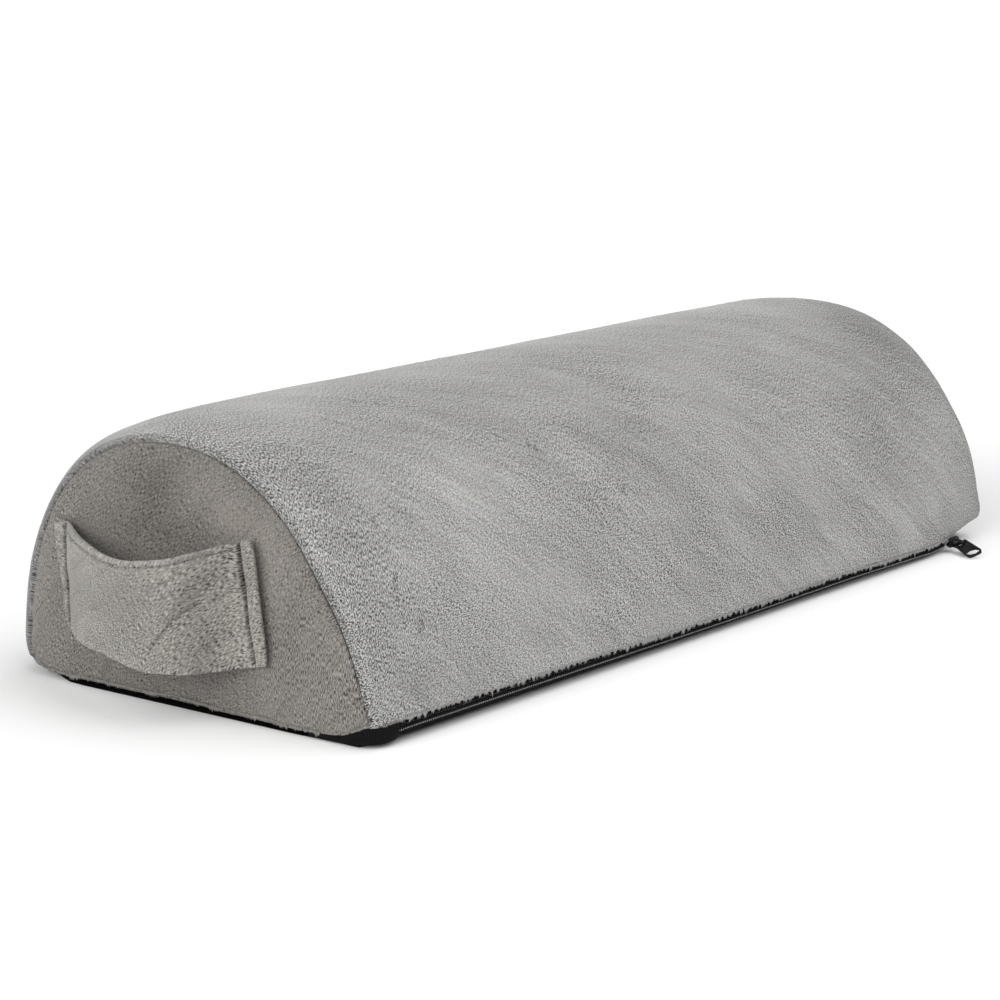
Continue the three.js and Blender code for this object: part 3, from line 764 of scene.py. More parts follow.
def write_map(piece, across, up):
    """A UV map in metres from one value pair for each vertex."""
    mesh = piece.data
    layer = mesh.uv_layers.get("cloth") or mesh.uv_layers.new(name="cloth")
    corner = np.zeros(len(mesh.loops), int)
    mesh.loops.foreach_get("vertex_index", corner)
    pairs = np.stack([across[corner], up[corner]], axis=1)
    layer.data.foreach_set("uv", pairs.ravel())


def write_value(piece, name, values):
    """One number for each vertex, for a material to read."""
    layer = piece.data.attributes.new(name, "FLOAT", "POINT")
    layer.data.foreach_set("value", values)


def arch_map(points):
    """Along the length and up round the arch, unrolled over the rounded ends too."""
    angle = np.arctan2(points[:, 2], -points[:, 1])
    far = np.hypot(points[:, 1], points[:, 2])
    middle = np.abs(points[:, 0]) < HALF_LENGTH / 2
    turns = np.linspace(0, math.pi, 73)
    full = np.zeros(len(turns))
    np.maximum.at(full, np.rint(angle[middle] / turns[1]).astype(int), far[middle])
    fall = np.maximum(np.interp(angle, turns, full) - far, 0)
    fall = fall * ease(np.abs(points[:, 0]), *UNROLLED["beside"])
    fall *= ease(points[:, 2], *UNROLLED["above"])
    return points[:, 0] + np.sign(points[:, 0]) * fall, angle * ARCH_MAP_RADIUS


def strap_map(points):
    """Along the strap's loop, and up."""
    path = np.array([[row["y"], -HALF_LENGTH - row["out"]] for row in STRAP_PATH])
    steps = np.linalg.norm(np.diff(path, axis=0), axis=1)
    length = np.concatenate([[0], np.cumsum(steps)])
    here = points[:, [1, 0]]
    best = np.full(len(points), np.inf)
    along = np.zeros(len(points))
    for i, step in enumerate(steps):
        direction = (path[i + 1] - path[i]) / step
        share = np.clip((here - path[i]) @ direction, 0, step)
        away = np.linalg.norm(here - path[i] - share[:, None] * direction, axis=1)
        nearer = away < best
        best[nearer] = away[nearer]
        along[nearer] = (length[i] + share)[nearer]
    beyond = (along <= 0) + (along >= length[-1])
    return along + beyond * best, points[:, 2] + (1 - beyond) * best


def painted(u, v, patches):
    """The pile's tone at places of a cloth map, from its brushing and from painted light and shade:
    soft patches, each with its place, its half-lengths, its turn and how much paler it is."""
    total = np.zeros(len(u))
    for patch in patches:
        turn = math.radians(patch["turn"])
        du, dv = u - patch["u"], v - patch["v"]
        along = (du * math.cos(turn) + dv * math.sin(turn)) / patch["long"]
        across = (dv * math.cos(turn) - du * math.sin(turn)) / patch["wide"]
        total += patch["tone"] * np.exp(-(along ** 2 + across ** 2))
    return total


def paint_pile(piece, u, v, patches, tone, ruffle=0.0):
    """Writes for each vertex how pale the pile is, with its painted light and shade, how crossed and how
    rough it is.
    """
    for name, added in {"nap_light_and_shade": tone, "lay": 0.0, "ruffle": ruffle}.items():
        write_value(piece, name, painted(u, v, patches.get(name, [])) + added)


# Finishes
plush_arch = plush("plush", (0.0248, 0.0246, 0.0234), (0.565, 0.561, 0.545), ARCH_TURNS, ARCH_STROKE,
                   PILE_CONTRAST)
# The end panels' plush: a darker, warmer copy of the arch's, partly from the brushing of its pile and
# partly painted shade on the ends that face away from the light.
plush_end = plush("plush_end", (0.0146, 0.0131, 0.0115), (0.314, 0.292, 0.264), END_TURNS, END_STROKE,
                  CLOSE_CONTRAST)
plush_strap = plush("plush_strap", (0.024, 0.0224, 0.0197), (0.44, 0.418, 0.382), STRAP_TURNS, STRAP_STROKE,
                    CLOSE_CONTRAST)
tufts_grey = tuft_finish("tufts", (0.14, 0.138, 0.134), (0.45, 0.445, 0.432))
# Tufts for the ends: darker and warmer, partly painted shade like the end panels' plush.
tufts_warm_shaded = tuft_finish("tufts_end_shaded", (0.094, 0.087, 0.078), (0.3, 0.28, 0.254))
base_cloth = woven("base_cloth", (0.0035, 0.0035, 0.0041), 0.0006, 0.85)
zip_tape = woven("zip_tape", (0.0032, 0.0032, 0.004), 0.0005, 0.8)
zip_nylon = smooth_black("zip_nylon", (0.004, 0.004, 0.0048), 0.5, 0.15)
# Pale beads on the coil's crests: painted highlights.
zip_crest_highlight = smooth_black("zip_nylon_painted_highlight", (0.34, 0.34, 0.348), 0.3, 0.5)
zip_metal = smooth_black("zip_metal", (0.004, 0.004, 0.0045), 0.4, 0.2)


# Small repeated shapes

def scatter(name, model, places, frames, sizes, shade=None):
    """Copies of a small model joined as one piece. A frame holds the three directions that
    the model's own axes take, and the sizes are along those axes."""
    shape = read_points(model.data)
    count, corners = len(places), len(shape)
    turned = np.einsum("mk,nk,nkc->nmc", shape, sizes, frames) + places[:, None, :]
    faces = [list(face.vertices) for face in model.data.polygons]
    copies = [[i + first for i in face] for first in range(0, count * corners, corners) for face in faces]
    mesh = bpy.data.meshes.new(name)
    mesh.from_pydata(turned.reshape(-1, 3), [], copies)
    mesh.update()
    piece = bpy.data.objects.new(name, mesh)
    bpy.context.scene.collection.objects.link(piece)
    if shade is not None:
        # Tufts darker at the root than at the tip: painted shade deep in the pile.
        height = shape[:, 2] / shape[:, 2].max()
        tones = TUFT_ROOT + (TUFT_TIP - TUFT_ROOT) * height[None, :] + shade[:, None]
        write_value(piece, "tone", tones.ravel())
    bpy.data.objects.remove(model)
    return piece


def make_blade():
    """One tuft: a bent spike one unit long that stands on the origin and leans towards +X."""
    bpy.ops.object.select_all(action="DESELECT")
    bpy.ops.mesh.primitive_circle_add(vertices=3, radius=1, fill_type="NGON")
    piece = bpy.context.object
    edit(
        piece,
        lambda: bpy.ops.mesh.extrude_region_move(TRANSFORM_OT_translate={"value": (0.12, 0, 0.55)}),
        lambda: bpy.ops.transform.resize(value=(0.8, 0.8, 1)),
        lambda: bpy.ops.mesh.extrude_region_move(TRANSFORM_OT_translate={"value": (0.3, 0, 0.45)}),
        lambda: bpy.ops.mesh.merge(type="CENTER"),
        lambda: bpy.ops.mesh.select_all(action="SELECT"),
        lambda: bpy.ops.mesh.normals_make_consistent(inside=False),
    )
    return piece


def make_bead(segments, rings):
    """A rounded bead of unit radius."""
    bpy.ops.object.select_all(action="DESELECT")
    bpy.ops.mesh.primitive_uv_sphere_add(segments=segments, ring_count=rings, radius=1)
    return bpy.context.object


def spots_on(piece, wanted, count, draw):
    """Random places and normals on the faces that a rule picks, by area."""
    mesh = piece.data
    mesh.calc_loop_triangles()
    corners = np.zeros(len(mesh.loop_triangles) * 3, int)
    mesh.loop_triangles.foreach_get("vertices", corners)
    points = read_points(mesh)[corners.reshape(-1, 3)]
    crossed = np.cross(points[:, 1] - points[:, 0], points[:, 2] - points[:, 0])
    area = np.linalg.norm(crossed, axis=1)
    normals = unit(crossed)
    weight = area * wanted(points.mean(axis=1), normals)
    picked = draw.choice(len(points), count, p=weight / weight.sum())
    a, b = draw.uniform(size=(2, count))
    over = a + b > 1
    a[over], b[over] = 1 - a[over], 1 - b[over]
    first, second, third = points[picked].transpose(1, 0, 2)
    places = first + a[:, None] * (second - first) + b[:, None] * (third - first)
    return places, normals[picked]


def frames_along(up, towards):
    """For each tuft the three directions of its own axes: it stands along up and leans."""
    lean = unit(towards - up * np.sum(towards * up, axis=1)[:, None])
    return np.stack([lean, np.cross(up, lean), up], axis=1)


def grow(name, piece, wanted, lie, seed, material, slot, count, rise, long, thick):
    """Tufts of pile on part of a piece. They lie towards a direction, spread a little, and
    rise from the cloth by a share of their length."""
    draw = np.random.default_rng(seed)
    places, normals = spots_on(piece, wanted, count, draw)
    towards = np.array(lie) + draw.normal(scale=PILE_SPREAD, size=(count, 3))
    flat = unit(towards - normals * np.sum(towards * normals, axis=1)[:, None])
    up = unit(flat + normals * (rise * draw.uniform(0.6, 1.5, count))[:, None])
    clumps = 1 + 0.35 * waves(places, 0.006, seed)
    lengths = np.clip(long * draw.uniform(0.55, 1.25, count) * clumps, long * 0.4, long * 1.6)
    widths = thick * draw.uniform(0.7, 1.2, count)
    sizes = np.stack([widths, widths, lengths], axis=1)
    roots = places - normals * widths[:, None]
    shade = draw.normal(scale=TUFT_SHADE, size=count)
    tufts = scatter(name, make_blade(), roots, frames_along(up, flat), sizes, shade)
    finish_piece(tufts, slot, material)
    return tufts


# Filled arch

def simulate(piece):
    """Fills the cover a little with air, held at its seams and underneath, and keeps each
    point within a short way of its start."""
    mesh = piece.data
    start = read_points(mesh)
    held = piece.vertex_groups.new(name="held")
    near_end = ease(np.abs(start[:, 0]), HALF_LENGTH - 2.5 * PIN_FROM_END, HALF_LENGTH - PIN_FROM_END)
    near_floor = 1 - ease(start[:, 2], PIN_BELOW, 3 * PIN_BELOW)
    weight = np.maximum(near_end, near_floor)
    for index, value in enumerate(weight):
        if value > 0:
            held.add([index], float(value), "REPLACE")
    only(piece)
    cloth = piece.modifiers.new("air", "CLOTH")
    for key, value in SIM_CLOTH.items():
        setattr(cloth.settings, key, value)
    cloth.settings.effector_weights.gravity = 0
    cloth.collision_settings.use_collision = False
    cloth.point_cache.frame_start = 1
    cloth.point_cache.frame_end = SIM_FRAMES
    for number in range(1, SIM_FRAMES + 1):
        bpy.context.scene.frame_set(number)
    bpy.ops.object.modifier_apply(modifier=cloth.name)
    moved = read_points(piece.data) - start
    length = np.linalg.norm(moved, axis=1)
    kept = SIM_CAP * np.tanh(length / SIM_CAP)
    moved *= (kept / np.maximum(length, 1e-9))[:, None]
    write_points(piece.data, start + moved * (1 - weight)[:, None])
    piece.vertex_groups.clear()
    bpy.context.scene.frame_set(1)


def make_arch():
    piece = copy_node("arch_cushion", "arch_plush")
    split_long(piece, SIM_SPACING)
    subdivide(piece, 1)
    simulate(piece)
    subdivide(piece, 1)
    mesh = piece.data
    points, normals = read_points(mesh), read_normals(mesh)
    beside, above = np.abs(points[:, 0]), points[:, 2]
    free = ease(above, *ARCH_FREE["above"]) * (1 - ease(beside, *ARCH_FREE["beside"]))
    soft = 0.0005 * waves(points, 0.075, 4) + 0.00022 * waves(points, 0.03, 5)
    soft *= 1 - 0.8 * ease(above, *ARCH_RIDGE)
    across, up = arch_map(points)
    # Pressed creases, darkened with painted shade.
    pressed, crease_shade = press_creases(np.stack([across, up], axis=1), ARCH_CREASES)
    points = tuck_corner(points + normals * (soft * free + pressed)[:, None])
    start, end, top = ARCH_LOW_END
    low_end = ease(np.abs(points[:, 0]), start, end) * (points[:, 2] < top)
    points[:, 0] -= np.sign(points[:, 0]) * END_TUCK * low_end
    write_points(mesh, points)
    write_map(piece, across, up)
    beside = np.abs(points[:, 0])
    from_seam = HALF_LENGTH - beside
    # Painted shade at the end seams and on the roll beside them.
    seam_shade = -SEAM_SHADE * ease(beside, *ARCH_SEAM)
    seam_shade -= ROLL_SHADE * np.exp(-(from_seam / ROLL_WIDE) ** 2) * ease(up, *ROLL_UP)
    rough = SEAM_ROUGH[0] + (SEAM_ROUGH[1] - SEAM_ROUGH[0]) * ease(up, *ROUGH_UP)
    ruffle = rough * np.exp(-(from_seam / ROUGH_WIDE) ** 2)
    paint_pile(piece, across, up, ARCH_PATCHES, crease_shade + seam_shade, ruffle)
    finish_piece(piece, "plush", plush_arch, "arch_cushion")
    return piece


# End panels

def even_out(piece):
    """Smooths an end panel's flat faces, away from its sewn edge."""
    normals = read_normals(piece.data)
    inner = piece.vertex_groups.new(name="inner")
    for index, share in enumerate(ease(np.abs(normals[:, 0]), 0.85, 0.95)):
        if share > 0:
            inner.add([index], float(share), "REPLACE")
    modify(piece, "SMOOTH", factor=0.5, iterations=PANEL_ROUNDS, vertex_group="inner")
    piece.vertex_groups.clear()


def make_end_panel(node, name):
    piece = copy_node(node, name)
    subdivide(piece, 2)
    remesh(piece, PANEL_VOXEL)
    even_out(piece)
    mesh = piece.data
    side = -1 if node.endswith("left") else 1
    points, normals = read_points(mesh), read_normals(mesh)
    outer = ease(normals[:, 0] * side, 0.2, 0.7)
    soft = 0.0006 * waves(points, 0.06, 11 + side) + 0.0003 * waves(points, 0.025, 21 + side)
    points = points + normals * (soft * outer)[:, None]
    points[:, 2] -= PANEL_DROP * (1 - ease(points[:, 2], 0.0036, 0.009))
    points = tuck_corner(points)
    write_points(mesh, points)
    write_map(piece, -side * points[:, 1], points[:, 2])
    # Painted shade on the panel's edge where it turns in to the seam.
    turned_in = 1 - ease(np.abs(normals[:, 0]), 0.5, 0.85)
    seam_shade = -PANEL_SEAM_SHADE * turned_in * ease(points[:, 2], 0.006, 0.012)
    paint_pile(piece, points[:, 1], points[:, 2], END_PATCHES, seam_shade)
    finish_piece(piece, "plush_end", plush_end, node)
    return piece


# Hand strap

def make_strap():
    piece = copy_node("hand_strap", "hand_strap_plush")
    subdivide(piece, 2)
    remesh(piece, STRAP_VOXEL)
    mesh = piece.data
    points, normals = read_points(mesh), read_normals(mesh)
    flat = points[:, 1:]
    below_top = read_table(STRAP_TOP, points[:, 1], "y", "z") - points[:, 2]
    between = ease(points[:, 1], *STRAP_FREE["front"]) * (1 - ease(points[:, 1], *STRAP_FREE["back"]))
    from_back, from_front = way_distance(flat, BACK_STITCHES), way_distance(flat, FRONT_STITCHES)
    moved = groove(below_top - HEM_AT, 0.0008, 0.0005) * between
    moved += groove(below_top - HEM_ROLL_AT, 0.0003, 0.001) * between
    moved += groove(from_back, 0.0013, STITCH_WIDE)
    moved += groove(from_front, 0.0019, STITCH_WIDE)
    pressed, crease_shade = press_creases(flat, STRAP_CREASES)
    moved += pressed
    moved += 0.0002 * waves(points, 0.012, 31) + 0.0003 * waves(points, 0.03, 32)
    outer = ease(-normals[:, 0], 0.1, 0.4)
    tab_edge = ease(points[:, 1], *TAB_EDGE)
    across, up = strap_map(points)
    points = points + normals * (moved * outer)[:, None]
    points[:, 1] += TAB_REACH * tab_edge
    write_points(mesh, points)
    write_map(piece, across, up)
    # Painted shade in the stitch grooves at the tabs, in the hem's groove and in the creases, on the outer
    # face.
    dark = groove(from_front, 0.5, STITCH_WIDE) + groove(from_back, 0.35, STITCH_WIDE)
    dark += groove(below_top - HEM_AT, 0.3, 0.0004) * between + crease_shade
    paint_pile(piece, points[:, 1], points[:, 2], STRAP_PATCHES, dark * outer)
    finish_piece(piece, "plush", plush_strap, "hand_strap")
    return piece


# Base cloth and zip tapes

def make_base():
    """The base cloth, drawn in under the two lifted corners."""
    piece = copy_node("base_panel", "base_cloth")
    split_long(piece, BASE_SPACING)
    subdivide(piece, 1)
    mesh = piece.data
    points = read_points(mesh)
    x, y, z = points.T
    back_left = ease(-x, *BASE_BACK_LEFT["x"]) * ease(y, *BASE_BACK_LEFT["y"])
    front_right = ease(x, *BASE_FRONT_RIGHT["x"]) * ease(-y, *BASE_FRONT_RIGHT["y"])
    drawn = CORNER_DRAWN * (back_left - front_right)
    x += drawn
    y -= drawn
    y += BASE_INSET * ease(-y, *BASE_FRONT)
    lower = BASE_LOWER * ease(-x, *BASE_LEFT["x"]) * ease(y, *BASE_LEFT["y"])
    z[:] = np.where(z > lower, z - lower, np.minimum(z, 0.0001))
    write_points(mesh, tuck_corner(points, 0.01))
    finish_piece(piece, "base_cloth", base_cloth, "base_panel")
    return piece


def rim_line():
    """The upper edge of the black rim, from the front round to the end."""
    centre = (CORNER_END + CORNER_ROUND, CORNER_FRONT + CORNER_ROUND)
    turns = np.linspace(0, math.pi / 2, 15)
    way = [(x, CORNER_FRONT) for x in np.linspace(CORNER_FROM, centre[0], 6)[:-1]]
    way += [(centre[0] - CORNER_ROUND * math.sin(t), centre[1] - CORNER_ROUND * math.cos(t)) for t in turns]
    way += [(CORNER_END, y) for y in np.linspace(centre[1], CORNER_RIM[-1]["y"], 14)[1:]]
    way = np.array([(x, y, 0.0) for x, y in way])
    way[:, 2] = rim_top(way)
    return way


def make_rim():
    """The base cloth's rim, turned up around the front left corner from the zip's end."""
    way = rim_line()
    top = way[:, 2].copy()
    way[:, 2] = 0
    _, inward = corner_depth(way + 1e-6)
    bpy.ops.object.select_all(action="DESELECT")
    bpy.ops.mesh.primitive_grid_add(x_subdivisions=len(way) - 1, y_subdivisions=len(RIM_ROWS) - 1, size=2)
    piece = bpy.context.object
    piece.name = "base_cloth_rim"
    lower = 1 - RIM_LOWER * ease(way[:, 1], *RIM_LOWER_FROM)
    dive = RIM_DIVE * ease(way[:, 0], CORNER_FROM - RIM_DIVE_LONG, CORNER_FROM)
    rows = []
    for number, row in enumerate(RIM_ROWS):
        height = row["low"] * lower * (1 - row["share"]) + row["share"] * top
        inset = row["inset"] + dive + 0.0002 * waves(way, 0.006, 60 + number)
        rows.append(way + inward * inset[:, None] + np.stack([0 * top, 0 * top, height], axis=1))
    write_points(piece.data, np.concatenate(rows))
    modify(piece, "SOLIDIFY", thickness=RIM_THICK, offset=-1)
    subdivide(piece, 1)
    finish_piece(piece, "base_cloth", base_cloth)
    return piece


def make_tape(node, name):
    piece = copy_node(node, name)
    split_long(piece, TAPE_SPACING)
    subdivide(piece, 1)
    write_points(piece.data, tuck_corner(read_points(piece.data), 0.002))
    finish_piece(piece, "zip_tape", zip_tape, node)
    return piece


# Zip coil, slider and pull

def rail(node):
    """The middle of a long node at each of its stations along X."""
    points = read_points(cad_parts[node].data)
    stations = np.round(points[:, 0], 4)
    found = np.unique(stations)
    return found, np.array([points[stations == x].mean(axis=0) for x in found])


def on_rail(rails, x):
    found, middles = rails
    return np.stack([np.interp(x, found, middles[:, axis]) for axis in range(3)], axis=1)


def make_coil_turns():
    """The coil's turns, from its two sides by turns, on the face of the coil's core, with pale beads on
    every other turn's crest as painted highlights.
    """
    coil, upper, lower = rail("zip_coil"), rail("zip_tape_upper"), rail("zip_tape_lower")
    low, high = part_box("zip_coil")
    x = np.arange(low[0] + COIL_PITCH, high[0] - COIL_PITCH, COIL_PITCH / 2)
    middle = on_rail(coil, x)
    up = unit(on_rail(upper, x) - on_rail(lower, x))
    up = unit(up * np.array([0, 1, 1]))
    along = np.tile([1.0, 0.0, 0.0], (len(x), 1))
    out = unit(np.cross(along, up))
    side = np.where(np.arange(len(x)) % 2 == 0, 1.0, -1.0)[:, None]
    skew = unit(up + along * side * COIL_SKEW)
    across = np.cross(skew, out)
    frames = np.stack([across, skew, out], axis=1)
    sizes = np.tile([COIL_PITCH * 0.33, COIL_HALF_TURN, COIL_THICK], (len(x), 1))
    places = middle + up * side * COIL_OFFSET + out * COIL_OUT
    piece = scatter("zip_coil_turns", make_bead(8, 6), places, frames, sizes)
    finish_piece(piece, "zip_nylon", zip_nylon)
    # Painted highlights: pale beads on the crests.
    crests = middle[::2] + out[::2] * (COIL_OUT + COIL_THICK - CREST_SIZE[2] * 0.6) + up[::2] * COIL_OFFSET
    sizes = np.tile(CREST_SIZE, (len(crests), 1))
    piece = scatter("zip_coil_crest_highlights", make_bead(6, 4), crests, frames[::2], sizes)
    finish_piece(piece, "zip_nylon", zip_crest_highlight)


def shape_pull(points):
    """Widens the pull's oval hole and shortens its window at the hinge."""
    middle = points.mean(axis=0)
    _, _, axes = np.linalg.svd(points - middle, full_matrices=False)
    long_axis, side_axis = axes[0], axes[1]
    if long_axis[2] > 0:
        long_axis = -long_axis
    along = (points - middle) @ long_axis
    hinge = along.min()
    from_hinge = along - hinge
    aside = (points - middle) @ side_axis
    aside -= (aside.max() + aside.min()) / 2
    oval = (from_hinge - OVAL_AT) ** 2 / OVAL_HALF[0] ** 2 + aside ** 2 / OVAL_HALF[1] ** 2 < 1.1
    window = (np.abs(from_hinge - WINDOW_END) < WINDOW_REACH[0]) & (np.abs(aside) < WINDOW_REACH[1])
    grown = ((OVAL_GROWS[0] - 1) * (from_hinge - OVAL_AT) - OVAL_SHIFT)[:, None] * long_axis
    points = points + oval[:, None] * (grown + (OVAL_GROWS[1] - 1) * aside[:, None] * side_axis)
    plate = ~oval * (from_hinge > PLATE_FROM)
    points = points + (plate * (PLATE_GROWS - 1) * aside)[:, None] * side_axis
    return points - window[:, None] * WINDOW_SHORT * long_axis


def make_metal(node, name, reshape=None):
    """A copy of a metal node with its edges rounded."""
    piece = copy_node(node, name)
    if reshape:
        write_points(piece.data, reshape(read_points(piece.data)))
    edit(piece, lambda: bpy.ops.mesh.dissolve_limited(angle_limit=METAL_FLAT))
    modify(piece, "BEVEL", width=METAL_ROUNDING, segments=2, limit_method="ANGLE",
           angle_limit=METAL_CORNER)
    finish_piece(piece, "zip_metal", zip_metal, node)
    only(piece)
    bpy.ops.object.shade_smooth_by_angle(angle=METAL_SMOOTH)
    return piece


class Line:
    """A line through 3-D places."""

    def __init__(self, way):
        self.way = np.array(way)
        steps = np.linalg.norm(np.diff(self.way, axis=0), axis=1)
        self.length = np.concatenate([[0], np.cumsum(steps)])

    def places(self, at):
        return np.stack([np.interp(at, self.length, self.way[:, axis]) for axis in range(3)], axis=1)

    def directions(self, at, reach=0.0005):
        return unit(self.places(at + reach) - self.places(at - reach))


def fringe(name, way, per_metre, seed, material, slot, clumping=0.25):
    """Flat tufts that hang side by side over a border, outwards to the left of the line."""
    draw = np.random.default_rng(seed)
    line = Line(way)
    count = int(line.length[-1] * per_metre)
    at = draw.uniform(0, line.length[-1], count)
    places, along = line.places(at), line.directions(at)
    out = unit(np.stack([-along[:, 1], along[:, 0], 0 * at], axis=1))
    sway = draw.normal(scale=FRINGE_SWAY, size=count)[:, None]
    down = unit(out * FRINGE_OUT + along * sway + np.array([0, 0, -1.0]))
    low, wide, long = FRINGE_SIZE
    clumps = 1 + clumping * waves(places, 0.0028, seed)
    widths = wide * draw.uniform(0.6, 1.5, count)
    lengths = long * draw.uniform(0.55, 1.3, count) * clumps
    lengths = np.minimum(lengths, places[:, 2] + FRINGE_RISE - FRINGE_CLEAR)
    sizes = np.stack([low * np.ones(count), widths, lengths], axis=1)
    roots = places + np.array([0, 0, FRINGE_RISE])
    shade = draw.normal(scale=TUFT_SHADE, size=count)
    tufts = scatter(name, make_blade(), roots, frames_along(down, -out), sizes, shade)
    finish_piece(tufts, slot, material)
    return tufts


arch = make_arch()
left_panel = make_end_panel("end_panel_left", "end_panel_left_plush")
right_panel = make_end_panel("end_panel_right", "end_panel_right_plush")
strap = make_strap()
base = make_base()
rim = make_rim()
upper_tape = make_tape("zip_tape_upper", "zip_tape_upper_cloth")
lower_tape = make_tape("zip_tape_lower", "zip_tape_lower_cloth")
coil_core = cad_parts["zip_coil"]
coil_core.data.materials.clear()
coil_core.data.materials.append(zip_nylon)
make_coil_turns()
make_metal("zip_slider", "zip_slider_body")
make_metal("zip_pull", "zip_pull_plate", shape_pull)


# Tufts

def panel_rim(centres, normals):
    """The edge of an end panel, beside its seam."""
    return (np.abs(centres[:, 0]) < 0.2256) * (centres[:, 2] > 0.006) * (np.abs(normals[:, 0]) < 0.97)


def arch_rim(centres, normals):
    """The arch beside its end seams."""
    return (np.abs(centres[:, 0]) > 0.2225) * (centres[:, 2] > 0.008) * (np.abs(normals[:, 0]) < 0.9)


def arch_all(centres, normals):
    """The whole outside of the arch between its seams."""
    return (centres[:, 2] > 0.006) * (np.abs(centres[:, 0]) < 0.222)


def panel_all(centres, normals):
    return (centres[:, 2] > 0.008) * (np.abs(normals[:, 0]) > 0.8)


def strap_edges(centres, normals):
    return np.abs(normals[:, 2]) > 0.4


def strap_all(centres, normals):
    return normals[:, 0] < -0.2


def low_border(piece, stations, out_axis, side):
    """The lower outer edge of a piece on one side, at stations along the other axis."""
    points = read_points(piece.data)
    found = []
    for here in stations:
        beside = np.abs(points[:, 1 - out_axis] - here) < 0.004
        near = points[beside * (points[:, out_axis] * side > 0.06)]
        lowest = np.percentile(near[:, 2], 2)
        near = near[near[:, 2] < lowest + 0.0025]
        place = [0.0, 0.0, lowest + 0.0002]
        place[out_axis] = (near[:, out_axis] * side).max() * side
        place[1 - out_axis] = here
        found.append(place)
    return np.array(found)


def front_border(piece):
    """The plush's lower edge over the zip, from the right to the corner."""
    x = np.linspace(FRONT_EDGE[-1]["x"], CORNER_FROM, 90)
    z = read_table(FRONT_EDGE, x, "x", "z")
    points = read_points(piece.data)
    y = []
    for here, edge in zip(x, z):
        near = points[(np.abs(points[:, 0] - here) < 0.004) * (np.abs(points[:, 2] - edge - 0.001) < 0.002)]
        y.append(near[:, 1].min())
    return np.stack([x, np.array(y), z], axis=1)


# Which way the tufts lie
ARCH_LIE = (0.55, -0.25, -0.8)
END_LIE = (0, 0.75, -0.65)
STRAP_EDGE_LIE = (0, 0.5, -0.3)
STRAP_LIE = (0, 0.85, -0.5)
# How many, the share of their length that they rise, and their length and thickness
ARCH_TUFTS = {"count": 12000, "rise": 0.16, "long": 0.0013, "thick": 0.0002}
SEAM_TUFTS = {"count": 2400, "rise": 0.2, "long": 0.0008, "thick": 0.0002}
RIM_TUFTS = {"count": 1000, "rise": 0.15, "long": 0.0007, "thick": 0.0002}
PANEL_TUFTS = {"count": 2400, "rise": 0.15, "long": 0.0012, "thick": 0.00014}
STRAP_EDGE_TUFTS = {"count": 1200, "rise": 0.25, "long": 0.0008, "thick": 0.0002}
STRAP_TUFTS = {"count": 1200, "rise": 0.15, "long": 0.0012, "thick": 0.00014}
GREY = {"material": tufts_grey, "slot": "plush"}
# Darker, warmer tufts for the ends and the front left corner, partly painted shade like the end panels'
# plush.
WARM = {"material": tufts_warm_shaded, "slot": "plush_end"}
# The stretch of each end panel's lower edge that has a fringe
ENDS = (
    {"side": "left", "panel": left_panel, "sign": -1, "span": (-0.07, 0.075), "seed": 50},
    {"side": "right", "panel": right_panel, "sign": 1, "span": (0.08, -0.083), "seed": 60},
)

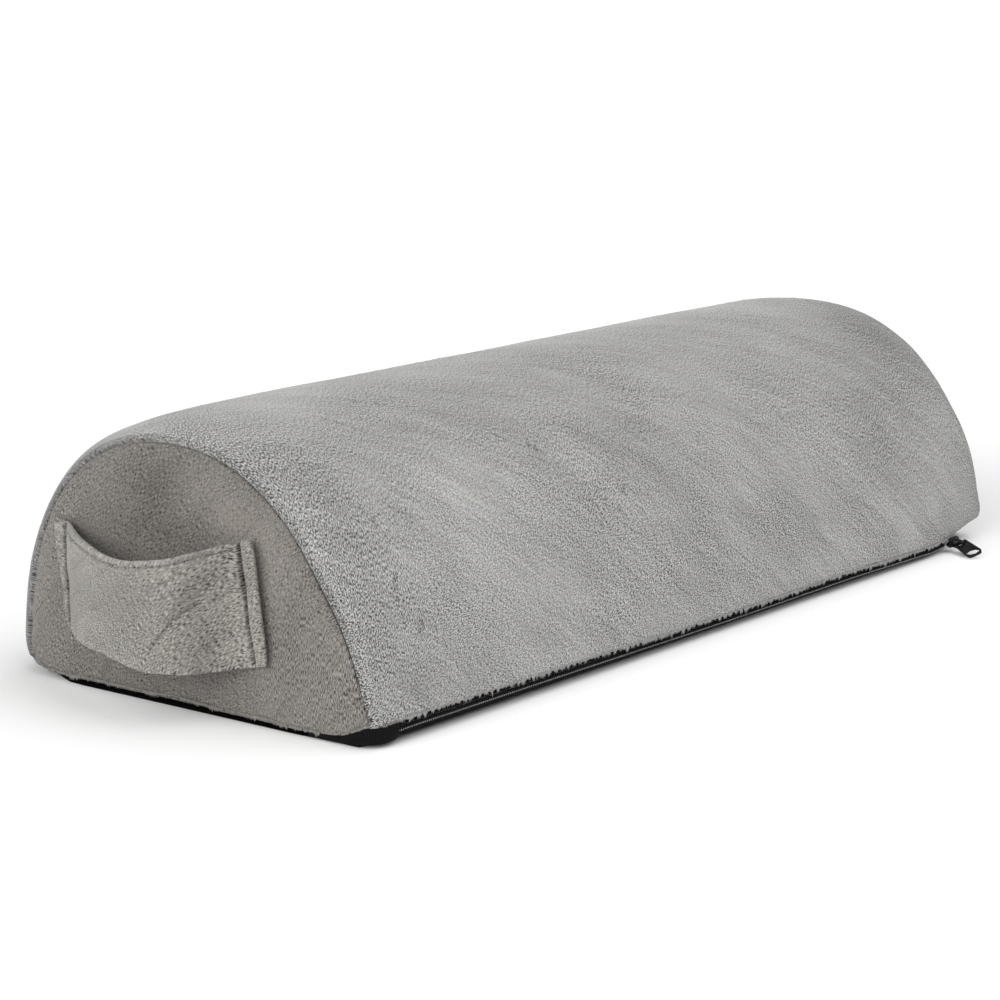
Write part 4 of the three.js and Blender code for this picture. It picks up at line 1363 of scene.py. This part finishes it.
fringe("tufts_over_zip", front_border(arch), per_metre=5000, seed=41, clumping=0.45, **GREY)
fringe("tufts_back_edge", low_border(arch, BACK_STATIONS, 1, 1), per_metre=4000, seed=42, **GREY)
fringe("tufts_corner", rim_line(), per_metre=5000, seed=45, **WARM)
grow("tufts_arch", arch, arch_all, ARCH_LIE, 43, **GREY, **ARCH_TUFTS)
grow("tufts_seam", arch, arch_rim, ARCH_LIE, 44, **GREY, **SEAM_TUFTS)
for end in ENDS:
    side, panel, seed = end["side"], end["panel"], end["seed"]
    line = low_border(panel, np.linspace(*end["span"], 40), 0, end["sign"])
    fringe(f"tufts_{side}_bottom", line, per_metre=5000, seed=seed, **WARM)
    grow(f"tufts_{side}_rim", panel, panel_rim, END_LIE, seed + 1, **WARM, **RIM_TUFTS)
    grow(f"tufts_{side}_panel", panel, panel_all, END_LIE, seed + 2, **WARM, **PANEL_TUFTS)
grow("tufts_strap_edges", strap, strap_edges, STRAP_EDGE_LIE, 71, **GREY, **STRAP_EDGE_TUFTS)
grow("tufts_strap", strap, strap_all, STRAP_LIE, 72, **GREY, **STRAP_TUFTS)


# Floor, light and camera

def make_stage():
    bpy.ops.mesh.primitive_plane_add(size=60, location=(0, 0, 0))
    floor = bpy.context.object
    floor.name = "floor"
    floor.data.materials.append(flat_white("floor_white", FLOOR_TONE, 0.9))


def make_light():
    """A dim studio with a few wide, soft lights around it."""
    world = bpy.data.worlds.new("studio")
    world.use_nodes = True
    sky = Nodes(world.node_tree)
    direction = sky.node("TexCoord").outputs["Generated"]
    lobes = []
    for lobe in SKY_LOBES:
        aim = tuple(Vector(lobe["aim"]).normalized())
        towards = sky.math("MAXIMUM", sky.vector_math("DOT_PRODUCT", direction, aim), 0.0)
        lobes.append(sky.math("MULTIPLY", sky.math("POWER", towards, lobe["power"]), lobe["strength"]))
    backdrop = world.node_tree.nodes["Background"]
    backdrop.inputs["Color"].default_value = (1, 1, 1, 1)
    sky.give(backdrop.inputs["Strength"], sky.sum(*lobes))
    bpy.context.scene.world = world


def make_camera():
    data = bpy.data.cameras.new("camera")
    data.lens = CAMERA_LENS
    data.sensor_width = CAMERA_SENSOR
    data.clip_start, data.clip_end = 0.05, 100
    holder = bpy.data.objects.new("camera", data)
    holder.location = CAMERA_PLACE
    look = Vector((
        math.cos(CAMERA_YAW) * math.cos(CAMERA_PITCH),
        math.sin(CAMERA_YAW) * math.cos(CAMERA_PITCH),
        -math.sin(CAMERA_PITCH),
    ))
    holder.rotation_euler = look.to_track_quat("-Z", "Y").to_euler()
    bpy.context.scene.collection.objects.link(holder)
    bpy.context.scene.camera = holder


make_stage()
make_light()
make_camera()
bpy.context.scene.view_settings.view_transform = "Standard"
